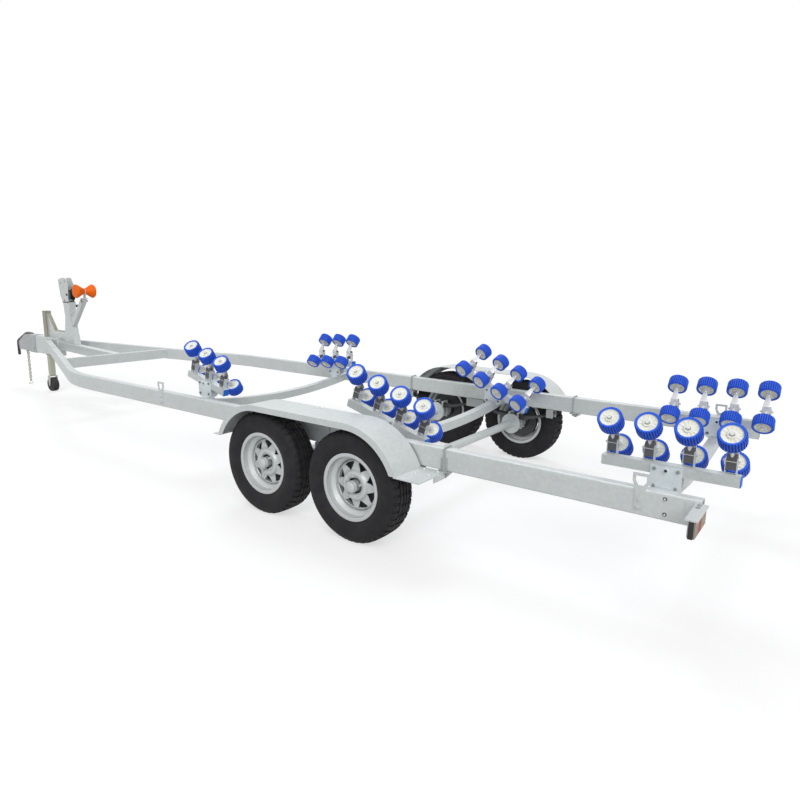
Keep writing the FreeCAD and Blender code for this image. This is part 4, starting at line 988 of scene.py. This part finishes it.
# %% The orange cones
bow_spot, cone_columns = middle_of("bow_roller"), 64
cone = solid([(0.0285, 0.0052), (0.0305, 0.0075), (0.0450, 0.0350), (0.0600, 0.0600), (0.0745, 0.0850),
              (0.0760, 0.0890), (0.0755, 0.0960), (0.0720, 0.1020), (0.0620, 0.1050), (0.0400, 0.1065)],
             cone_columns)
flutes = sunk(cone, lambda middle, normal: 0.032 < middle.xy.length < 0.073 and 0.008 < middle.z < 0.084
              and normal.z < 0 and column_of(middle, cone_columns) % 4 == 0, 0.0012)
outward(cone)
finish_piece(copies(cone, both_ways(bow_spot)), "bow_roller_cones", "orange_roller", "bow_roller_body",
             "bow_roller", smooth=35)
print("bow roller with", flutes // 3, "ribs")

# %% The pin of the bow roller
pin = solid([(0.0095, -0.0070), (0.0098, -0.0062), (0.0098, 0.0062), (0.0095, 0.0070)], 20)
finish_piece(across_at(pin, bow_spot), "bow_roller_pin", "bright_fastener", "bow_roller_body")
head_spot = Vector((bow_spot.x + 0.025, 0, bow_spot.z - 0.111))
finish_piece(copies(hex_nut(0.034, 0.014, 0.010, 0.007), both_ways(head_spot, 0.025)), "bow_arm_bolts",
             "yellow_zinc_bolt")
print("pin and the arm's bolts placed")

# %% [markdown]
# ## Winch
#
# A small hand winch with black webbing stands on the post. Its drum is two thin flanges with the strap wound
# between them; the turns show as fine ridges on the roll's edge. Stacked rings make both. The crank is a
# flat bar with a free-turning grip, and its pinion drives the drum.

# %% The drum and its webbing
drum_box, drum_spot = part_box("winch_drum"), middle_of("winch_drum")
drum_r, drum_half, shaft_r, flange_t = (drum_box[1].z - drum_box[0].z) / 2, 0.031, 0.0128, 0.004
flange = hoop([(shaft_r, 0), (drum_r - 0.004, 0), (drum_r, 0.001), (drum_r, 0.003),
               (drum_r - 0.004, flange_t), (shaft_r, flange_t)], 48)
flange_ends = [Matrix.Translation((0, 0, drum_half - flange_t)), Matrix.Translation((0, 0, -drum_half))]
drum_parts = [another(flange, end) for end in flange_ends]
drum_parts.append(solid([(0.0120, -0.043), (shaft_r, -0.042), (shaft_r, 0.042), (0.0120, 0.043)], 20))
drop(flange)
finish_piece(across_at(joined(drum_parts), drum_spot), "winch_drum_flanges", "black_winch_steel",
             "winch_drum_body", "winch_drum")
turn_count, roll_r, roll_half, strap_t, ridge_high = 9, 0.0495, 0.0262, 0.0018, 0.0007
turns = [(roll_r - layer * strap_t - lift, roll_half + lift)
         for layer in range(turn_count) for lift in (0, ridge_high)]
roll = hoop([(r, -y) for r, y in reversed(turns)] + turns, 44)
lap = placed(bar((0.034, 0.002, 0.051), (0, 0.0503, 0), 0.0006, 1), Matrix.Rotation(0.5, 4, "Z"))
finish_piece(across_at(joined([roll, lap]), drum_spot), "winch_webbing", "black_webbing", "winch_drum_body",
             smooth=25)
print("drum radius", round(drum_r, 3), "with", turn_count, "turns of webbing")

# %% [markdown]
# Both grips of the trailer, on the crank and on the coupling's handle, are ribbed so that a wet hand holds
# them. The ridges could be a modifier's array, but here three rings are added to the outline for each ridge.

# %% The crank
def ridged(start, step, ridges, end):
    """A grip's outline: its start, ridges one step apart, each with its own rings, and its end."""
    apart, rings = step
    middle = [(radius, shift + number * apart) for number in range(ridges) for radius, shift in rings]
    return start + middle + end


crank_spot = Vector((drum_spot.x + 0.100, 0, drum_spot.z + 0.082))
crank_arm = bar((0.026, 0.008, 0.246), (crank_spot.x, -0.0675, crank_spot.z - 0.107), 0.0035, 3)
shaft = across_at(solid([(0.0078, -0.0635), (0.0078, 0.044), (0.0070, 0.045)], 20), crank_spot)
hub_nut = across_at(hex_nut(0.020, 0.009, 0.006, 0.003), crank_spot + Vector((0, -0.0715, 0)), -1)
finish_piece([crank_arm, shaft, hub_nut], "winch_crank_arm", "bright_fastener", "winch_crank_body",
             "winch_crank")
grip_rings = ridged([(0.0080, 0.0), (0.0145, 0.001), (0.0160, 0.004)],
                    (0.011, ((0.0160, 0.012), (0.0146, 0.0145), (0.0160, 0.017))), 8,
                    [(0.0160, 0.102), (0.0135, 0.106)])
crank_grip = across_at(solid(grip_rings, 24), (crank_spot.x, -0.0672, crank_spot.z - 0.218), -1)
finish_piece(crank_grip, "winch_crank_grip", "black_rubber", "winch_crank_body", smooth=40)
print("crank at", tuple(round(v, 3) for v in crank_spot))

# %% Bolts of the winch frame, and a band of painted shadow under its base
frame_bolts = []
for along, up in ((0.128, 0.130), (0.035, 0.150), (0.073, -0.065)):
    frame_bolts += both_ways(drum_spot + Vector((along, 0, up)), 0.036)
finish_piece(copies(hex_nut(0.019, 0.007, 0.0055, 0.003), frame_bolts), "winch_frame_bolts",
             "bright_fastener")
# a thin black block round the frame's foot on the post is painted shadow under the winch base
frame_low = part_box("winch_frame")[0]
base_shadow_band = bar((0.138, 0.080, 0.011), (frame_low.x + 0.081, 0, frame_low.z - 0.0005), 0.002)
finish_piece(base_shadow_band, "winch_base_painted_shadow", "black_rubber")
print("winch frame fixed by", len(frame_bolts), "nuts")

# %% [markdown]
# ## Jack
#
# The parking jack is a square tube through the drawbar neck, held by two gusset plates that run back to the
# post. The tube is plated in an olive tone while the gussets are galvanised with the frame. The tube is a
# box without its lower face, given a wall, so the leg can be seen to slide in it.

# %% Tube and its bands
jack_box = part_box("jack_tube")
jack_x = middle_of("jack_leg").x
tube_half, tube_low, tube_high = 0.03708, jack_box[0].z, jack_box[1].z - 0.009


def open_box(piece, test, wall):
    """Delete the faces that pass and give the rest a wall."""
    pick(piece, test)
    bpy.ops.mesh.delete(type="FACE")
    return modifier(piece, "SOLIDIFY", thickness=wall, offset=-1)


def round_edges(piece, test, radius, segments):
    """Round the edges whose middle and direction pass."""
    pick(piece, test, "EDGE")
    bpy.ops.mesh.bevel(offset=radius, segments=segments, affect="EDGES")


outer_tube = bar((2 * tube_half, 2 * tube_half, tube_high - tube_low),
                 (jack_x, 0, (tube_low + tube_high) / 2))
round_edges(outer_tube, lambda middle, run: abs(run.z) > 0.9, 0.006, 3)
open_box(outer_tube, lambda middle, normal: normal.z < -0.9, 0.006)
lid = bar((0.0755, 0.0755, 0.010), (jack_x, 0, tube_high + 0.004), 0.003)
foot_band = bar((0.0785, 0.0785, 0.016), (jack_x, 0, tube_low + 0.012), 0.002)
open_box(foot_band, lambda middle, normal: abs(normal.z) > 0.9, 0.003)
finish_piece([outer_tube, lid, foot_band], "jack_outer_tube", "olive_zinc", stands_for="jack_tube")
print("jack tube from", round(tube_low, 3), "to", round(tube_high, 3))

# %% Gussets with their lids and bolts
gusset_z, gusset_x, post_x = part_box("drawbar_neck")[1].z, jack_x - tube_half, 2.930
gusset_high, link_high, slope_top, slope_end = 0.285, 0.095, 0.030, 0.175
link_x = gusset_x - slope_end
gusset = plate([(post_x, gusset_z), (gusset_x, gusset_z), (gusset_x, gusset_z + gusset_high),
                (gusset_x - slope_top, gusset_z + gusset_high), (link_x, gusset_z + link_high),
                (post_x, gusset_z + link_high)], 0.006, 0.0012)
finish_piece(copies(gusset, [side_on(0.018), side_on(-0.012)]), "jack_gussets", "galvanised_steel")
link_lid = bar((link_x - post_x, 0.044, 0.006), ((link_x + post_x) / 2, 0, gusset_z + 0.092), 0.001)
slope_run, slope_rise = slope_end - slope_top, gusset_high - link_high
slope_lid = placed(bar((math.hypot(slope_run, slope_rise), 0.040, 0.005), (0, 0, 0), 0.001),
                   Matrix.Translation((gusset_x - 0.1025, 0, gusset_z + 0.187))
                   @ Matrix.Rotation(-math.atan2(slope_rise, slope_run), 4, "Y"))
finish_piece([link_lid, slope_lid], "jack_gusset_lids", "olive_zinc")
gusset_bolts = []
for back in (0.035, 0.115, 0.235):
    gusset_bolts += both_ways((gusset_x - back, 0, gusset_z + 0.045), 0.018)
finish_piece(copies(hex_nut(0.021, 0.008, 0.006, 0.003), gusset_bolts), "jack_gusset_bolts",
             "bright_fastener")
print(len(gusset_bolts), "gusset bolts")

# %% Castor fork and wheel
fork_top, cheek_y, cheek_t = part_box("jack_fork")[1].z, 0.0465, 0.005
axle_spot = Vector((jack_x, 0, middle_of("jack_wheel").z))
cheek = plate([(-0.030, fork_top - 0.012), (-0.030, 0.150), (-0.014, axle_spot.z - 0.016),
               (0.014, axle_spot.z - 0.016), (0.030, 0.150), (0.030, fork_top - 0.012)], cheek_t)
fork_parts = copies(cheek, [Matrix.Translation((jack_x, 0, 0)) @ side_on(y)
                            for y in (cheek_y, cheek_t - cheek_y)])
fork_parts.append(bar((0.060, 0.093, 0.007), (jack_x, 0, fork_top - 0.0095), 0.003))
fork_parts.append(placed(solid([(0.0255, -0.008), (0.0255, -0.003), (0.0235, -0.0004)], 28),
                         Matrix.Translation((jack_x, 0, fork_top))))
fork_parts.append(across_at(solid([(0.0078, -0.047), (0.0078, 0.047)], 16), axle_spot))
fork_parts += copies(hex_nut(0.019, 0.007, 0.0055, 0.002), both_ways(axle_spot, cheek_y))
finish_piece(fork_parts, "jack_castor_fork", "zinc_plated_steel", "jack_fork_body", "jack_fork")
wheel_half = [(0.0086, -0.037), (0.0200, -0.037), (0.0215, -0.033), (0.0480, -0.031), (0.0540, -0.036),
              (0.0700, -0.038), (0.0785, -0.0365), (0.0840, -0.031), (0.0857, -0.022), (0.0860, -0.013),
              (0.0842, -0.011), (0.0860, -0.009)]
finish_piece(across_at(hoop(mirrored(wheel_half), 48), axle_spot), "jack_castor_wheel", "black_rubber",
             "jack_wheel_body", "jack_wheel", smooth=35)
print("castor wheel on a fork", round(fork_top, 3), "m high")

# %% [markdown]
# ## Coupling, handle and chain
#
# A cast ball housing sits on a sleeve round the neck's end. Castings have generous rounds, so the housing is
# a plate outline with wide bevels and a turned nose. The handle arches over it, and a short-link chain hangs
# from two lugs.

# %% Sleeve and housing
neck_low, neck_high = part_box("drawbar_neck")
neck_x, neck_mid, casting_half = neck_high.x, (neck_low.z + neck_high.z) / 2, 0.1025
low_z, high_z = neck_mid - casting_half, neck_mid + casting_half
sleeve = bar((0.156, 0.1126, 0.2276), (neck_x - 0.072, 0, neck_mid))
round_edges(sleeve, lambda middle, run: abs(run.x) > 0.9, 0.014, 4)
open_box(sleeve, lambda middle, normal: normal.x < -0.9, 0.0058)
modifier(sleeve, "BEVEL", width=0.0012, segments=2, limit_method="ANGLE")
finish_piece(sleeve, "coupling_sleeve", "galvanised_sleeve", stands_for="coupling")
ball_x, ball_r = neck_x + 0.320, 0.0253
casting = placed(plate([(neck_x + 0.004, low_z), (ball_x, low_z), (ball_x, low_z + 0.117),
                        (neck_x + 0.16, high_z), (neck_x + 0.004, high_z)], 0.092, 0), side_on(0.046))
modifier(casting, "BEVEL", width=0.010, segments=4, limit_method="ANGLE")
nose = stack([(r, low_z + up) for r, up in ((ball_r, 0), (0.043, 0), (0.046, 0.003), (0.046, 0.098),
                                            (0.041, 0.110), (0.030, 0.117))], 40, end_pole=True)
nose = placed(nose, Matrix.Translation((ball_x, 0, 0)))
socket = stack([(r, low_z + up) for r, up in ((ball_r, 0), (ball_r, 0.025), (0.022, 0.038), (0.0127, 0.047))],
               32, end_pole=True)
rib = placed(plate([(neck_x + 0.03, high_z - 0.01), (neck_x + 0.16, high_z - 0.01), (ball_x, low_z + 0.11),
                    (ball_x, low_z + 0.124), (neck_x + 0.165, high_z + 0.008),
                    (neck_x + 0.03, high_z + 0.008)], 0.014, 0.003), side_on(0.007))
finish_piece([casting, nose, placed(socket, Matrix.Translation((ball_x, 0, 0))), rib], "coupling_casting",
             "cast_coupling", smooth=35)
print("ball housing at", round(ball_x, 3))

# %% Lugs and bolts
lug_x, lug_bolt_z = neck_x + 0.2048, low_z - 0.0158
lug = plate([(lug_x - 0.015, low_z + 0.004), (lug_x + 0.015, low_z + 0.004),
             (lug_x + 0.015, lug_bolt_z - 0.003), (lug_x + 0.008, lug_bolt_z - 0.010),
             (lug_x - 0.008, lug_bolt_z - 0.010), (lug_x - 0.015, lug_bolt_z - 0.003)], 0.006)
lug_spot = Vector((lug_x, 0, lug_bolt_z))
lugs = copies(lug, [side_on(0.011), side_on(-0.005)])
lugs.append(across_at(solid([(0.0063, -0.014), (0.0063, 0.014)], 16), lug_spot))
nut_places = both_ways(lug_spot, 0.011)
for back, up in ((0.040, 0.055), (0.105, -0.055)):
    nut_places += both_ways((neck_x - back, 0, neck_mid + up), 0.0563)
nut_places += both_ways((neck_x + 0.075, 0, neck_mid + 0.02), 0.046)
finish_piece(lugs + copies(hex_nut(0.021, 0.008, 0.0065, 0.003), nut_places), "coupling_lugs_and_bolts",
             "bright_fastener")
print(len(nut_places), "nuts on the coupling")

# %% The handle and its grip
arch = [(0.028, high_z - 0.004), (0.030, high_z + 0.014), (0.052, high_z + 0.019), (0.150, high_z + 0.018),
        (0.200, high_z + 0.012), (0.330, neck_mid + 0.055), (0.440, neck_mid + 0.010),
        (0.461, neck_mid - 0.020), (0.461, neck_mid - 0.076)]
handle = bent_bar([(neck_x + along, 0, level) for along, level in arch], 0.0125, 16, 8)
pick(handle, everything)
bpy.ops.transform.resize(value=(1, 1.6, 1), center_override=(0, 0, 0))
finish_piece(handle, "coupling_handle", "dark_handle", stands_for="coupling_lever",
             smooth=50)
hand_rings = ridged([(0.0150, 0.006), (0.0168, 0.002)],
                    (-0.015, ((0.0170, -0.010), (0.0158, -0.013), (0.0170, -0.016))), 6,
                    [(0.0168, -0.104), (0.0140, -0.111), (0.0070, -0.113)])
finish_piece(placed(solid(hand_rings[::-1], 28), Matrix.Translation((neck_x + 0.461, 0, neck_mid - 0.0775))),
             "coupling_grip", "black_rubber", smooth=40)
print("handle and grip placed")

# %% The chain and its hook
link_top, link_step, link_count, hook_turn = low_z - 0.022, 0.0257, 15, math.radians(65)
settle()
bpy.ops.mesh.primitive_torus_add(major_segments=16, minor_segments=8, major_radius=0.0125,
                                 minor_radius=0.0055)
link = bpy.context.object
for way in (1, -1):
    pick(link, lambda spot, normal: spot.y * way > 1e-3, "VERT")
    bpy.ops.transform.translate(value=(0, way * 0.006, 0))
settle()
links = [Matrix.Translation((lug_x, 0, link_top - number * link_step))
         @ Matrix.Rotation(quarter * (number % 2), 4, "Z") @ Matrix.Rotation(quarter, 4, "X")
         for number in range(link_count)]
bpy.ops.mesh.primitive_torus_add(major_segments=18, minor_segments=8, major_radius=0.011, minor_radius=0.0042)
eye = placed(bpy.context.object, Matrix.Translation((0, 0, 0.0705)) @ Matrix.Rotation(quarter, 4, "X"))
hook_line = [(0, 0.060), (0, 0.053), (0.006, 0.047), (0.021, 0.042), (0.0245, 0.030), (0.014, 0.0228),
             (-0.002, 0.0228), (-0.015, 0.030), (-0.021, 0.045)]
hook = joined([eye, bent_bar([(x, 0, z) for x, z in hook_line], 0.0048)])
hook = placed(hook, Matrix.Translation((lug_x, 0, 0)) @ Matrix.Rotation(hook_turn, 4, "Z"))
finish_piece(copies(link, links) + [hook], "safety_chain_links", "zinc_chain", stands_for="safety_chain",
             smooth=60)
print("chain of", link_count, "links and a hook")

# %% [markdown]
# ## Tail lamps
#
# Each lamp is a shallow black housing with a lens in three bands under a steel hood. The lens is fluted so
# that its light spreads. A band is a thin block whose rear face is inset, divided, and pressed in at every
# other column.

# %% Lamp housings and lenses
def lens_band(width, height, depth):
    """A band of lens: its fluted face looks to the rear."""
    band = bar((depth, width, height), (0, 0, 0), 0.0015)
    pick(band, lambda middle, normal: normal.x < -0.95)
    bpy.ops.mesh.inset(thickness=0.0035)
    bpy.ops.mesh.subdivide(number_cuts=9)
    pick(band, lambda middle, normal: normal.x < -0.95 and abs(middle.z) < height / 2 - 0.0055
         and abs(middle.y) < width / 2 - 0.0052
         and int((middle.y + width / 2 - 0.005) / (width - 0.010) * 10) % 2 == 0)
    bpy.ops.mesh.extrude_region_move(TRANSFORM_OT_translate={"value": (0.001, 0, 0)})
    settle()
    return band


lamp_low, lamp_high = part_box("tail_lamps")
lamp_mid, lamp_tall = (lamp_low.z + lamp_high.z) / 2, lamp_high.z - lamp_low.z
lamp_wide, lens_depth = 0.212, 0.009
lamp_in, box_front = lamp_high.y - lamp_wide, lamp_low.x + lens_depth - 0.002
housings, screws = [], []
for outer in (1, -1):
    box_middle = ((lamp_high.x + box_front) / 2, outer * (lamp_high.y + lamp_in) / 2, lamp_mid)
    housings.append(bar((lamp_high.x - box_front, lamp_wide, lamp_tall), box_middle, 0.003))
    for up in (0.029, -0.029):
        for beside in (lamp_high.y - 0.007, lamp_in + 0.004):
            screws.append(pointing((-1, 0, 0), (lamp_low.x + 0.001, outer * beside, lamp_mid + up)))
finish_piece(housings, "lamp_housings", "black_rubber", stands_for="tail_lamps")
start = lamp_high.y - 0.003
for name, glass, width in (("clear", "pale_lens", 0.052), ("red", "red_lens", 0.068),
                           ("amber", "amber_lens", 0.084)):
    bands = [placed(lens_band(width - 0.001, lamp_tall - 0.006, lens_depth),
                    Matrix.Translation((lamp_low.x + lens_depth / 2, outer * (start - width / 2), lamp_mid)))
             for outer in (1, -1)]
    finish_piece(bands, "lamp_lens_" + name, glass)
    start -= width
finish_piece(copies(dome(0.0032, 0.0016, 12), screws), "lamp_screws", "bright_fastener", smooth=40)
print("lamps", round(lamp_tall, 3), "m high with", len(screws), "screws")

# %% [markdown]
# ## Fixings on the frame
#
# Bolts, clamps and small plates tell how the trailer was put together: U-bolts hold the suspension to the
# rails, bolts hold the rear plates, domed bolts the fenders, and nuts clamp the axles. Each kind is modelled
# once.

# %% Bolts on the rails and fenders
rail_low, rail_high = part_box("rail_left")
rail_face, rail_under, rail_top = rail_high.y, rail_low.z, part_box("cross_tube")[0].z + 0.088
rail_bolts = []
for along, up in ((0.143, 0.569), (0.139, 0.501), (0.024, 0.562)):
    rail_bolts += both_ways((rail_low.x + along, 0, up), rail_face)
finish_piece(copies(hex_nut(0.017, 0.006, 0.005, 0.002), rail_bolts), "rail_bolts", "galvanised_steel")
step_low, step_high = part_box("fender_brackets")
fender_low, fender_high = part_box("fenders")
axles_middle = (wheel_spots["front_left"].x + wheel_spots["rear_left"].x) / 2
fender_spots = [(step_low.x + along, out, fender_low.z) for along in (0.030, 0.115) for out in (0.975, 1.060)]
fender_spots += [(step_high.x - 0.022, out, fender_low.z) for out in (0.985, 1.085)]
fender_spots += [(axles_middle + shift, 0.995, fender_high.z) for shift in (-0.018, 0.018)]
hood_spots = [(lamp_low.x + 0.026, lamp_in + out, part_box("lamp_brackets")[1].z) for out in (0.018, 0.050)]
for name, material, spots in (("dome_bolts", "bright_fastener", fender_spots),
                              ("hood_bolts", "dull_fastener", hood_spots)):
    heads = [Matrix.Translation((x, way * y, z)) for way in (1, -1) for x, y, z in spots]
    finish_piece(copies(dome(0.0095, 0.0055), heads), name, material, smooth=40)
    print(len(heads), name)

# %% U-bolts with their plates
bolt_near, bolt_far, bolt_top = 0.0055, -0.0655, rail_top + 0.0055
ubolt_line = [(bolt_near, rail_under - 0.020), (bolt_near, rail_top - 0.012), (bolt_near, bolt_top),
              (-0.014, bolt_top), (-0.046, bolt_top), (bolt_far, bolt_top), (bolt_far, rail_top - 0.012),
              (bolt_far, rail_under - 0.020)]
ubolt = bent_bar([(0, rail_face + out, level) for out, level in ubolt_line], 0.0052, 12, 4)
under_plate = bar((0.044, 0.096, 0.006), (0, rail_face - 0.030, rail_under - 0.003), 0.001)
flank = bar((0.040, 0.005, 0.076), (0, rail_face + 0.002, rail_under + 0.034), 0.001)
tip = placed(plate([(-0.050, rail_under), (0.040, rail_under), (0.004, rail_under - 0.042),
                    (-0.006, rail_under - 0.042)], 0.005), side_on(rail_face - 0.002))
nut_ends = [pointing((0, 0, -1), (0, rail_face + out, rail_under - 0.006)) for out in (bolt_near, bolt_far)]
clamp_nuts = copies(hex_nut(0.017, 0.007, 0.0050, 0.004), nut_ends)
clamp = joined([ubolt, under_plate, flank, tip] + clamp_nuts)
clamps = []
for along in (0.658, -0.850):
    moved = Matrix.Translation((axles_middle + along, 0, 0))
    clamps += [moved, moved @ Matrix.Rotation(math.pi, 4, "Z")]
# the clamps take the darker galvanised: painted shade of the dark region round the springs
finish_piece(copies(clamp, clamps), "rail_clamps", "galvanised_painted_shade", smooth=35)
print(len(clamps), "clamps round the rails")

# %% Closing plate of the drawbar neck
play = 0.002
closing = bar((0.004, neck_high.y - neck_low.y - play, neck_high.z - neck_low.z - play),
              (neck_low.x, 0, neck_mid), 0.001)
finish_piece(closing, "neck_closing_plate", "galvanised_steel")
print("neck closed at", round(neck_low.x, 3))

# %% Nuts under the axle clamps
clamp_y, clamp_half, under_axle = 0.920, 0.0373, 0.0423
low_nuts = [pointing((0, 0, -1), (spot.x + along, outer_of(label) * (clamp_y + out), spot.z - under_axle))
            for label, spot in wheel_spots.items() for along in (clamp_half, -clamp_half)
            for out in (clamp_half, -clamp_half)]
finish_piece(copies(hex_nut(0.022, 0.011), low_nuts), "axle_clamp_nuts", "bright_fastener")
print(len(low_nuts), "nuts under the axles")
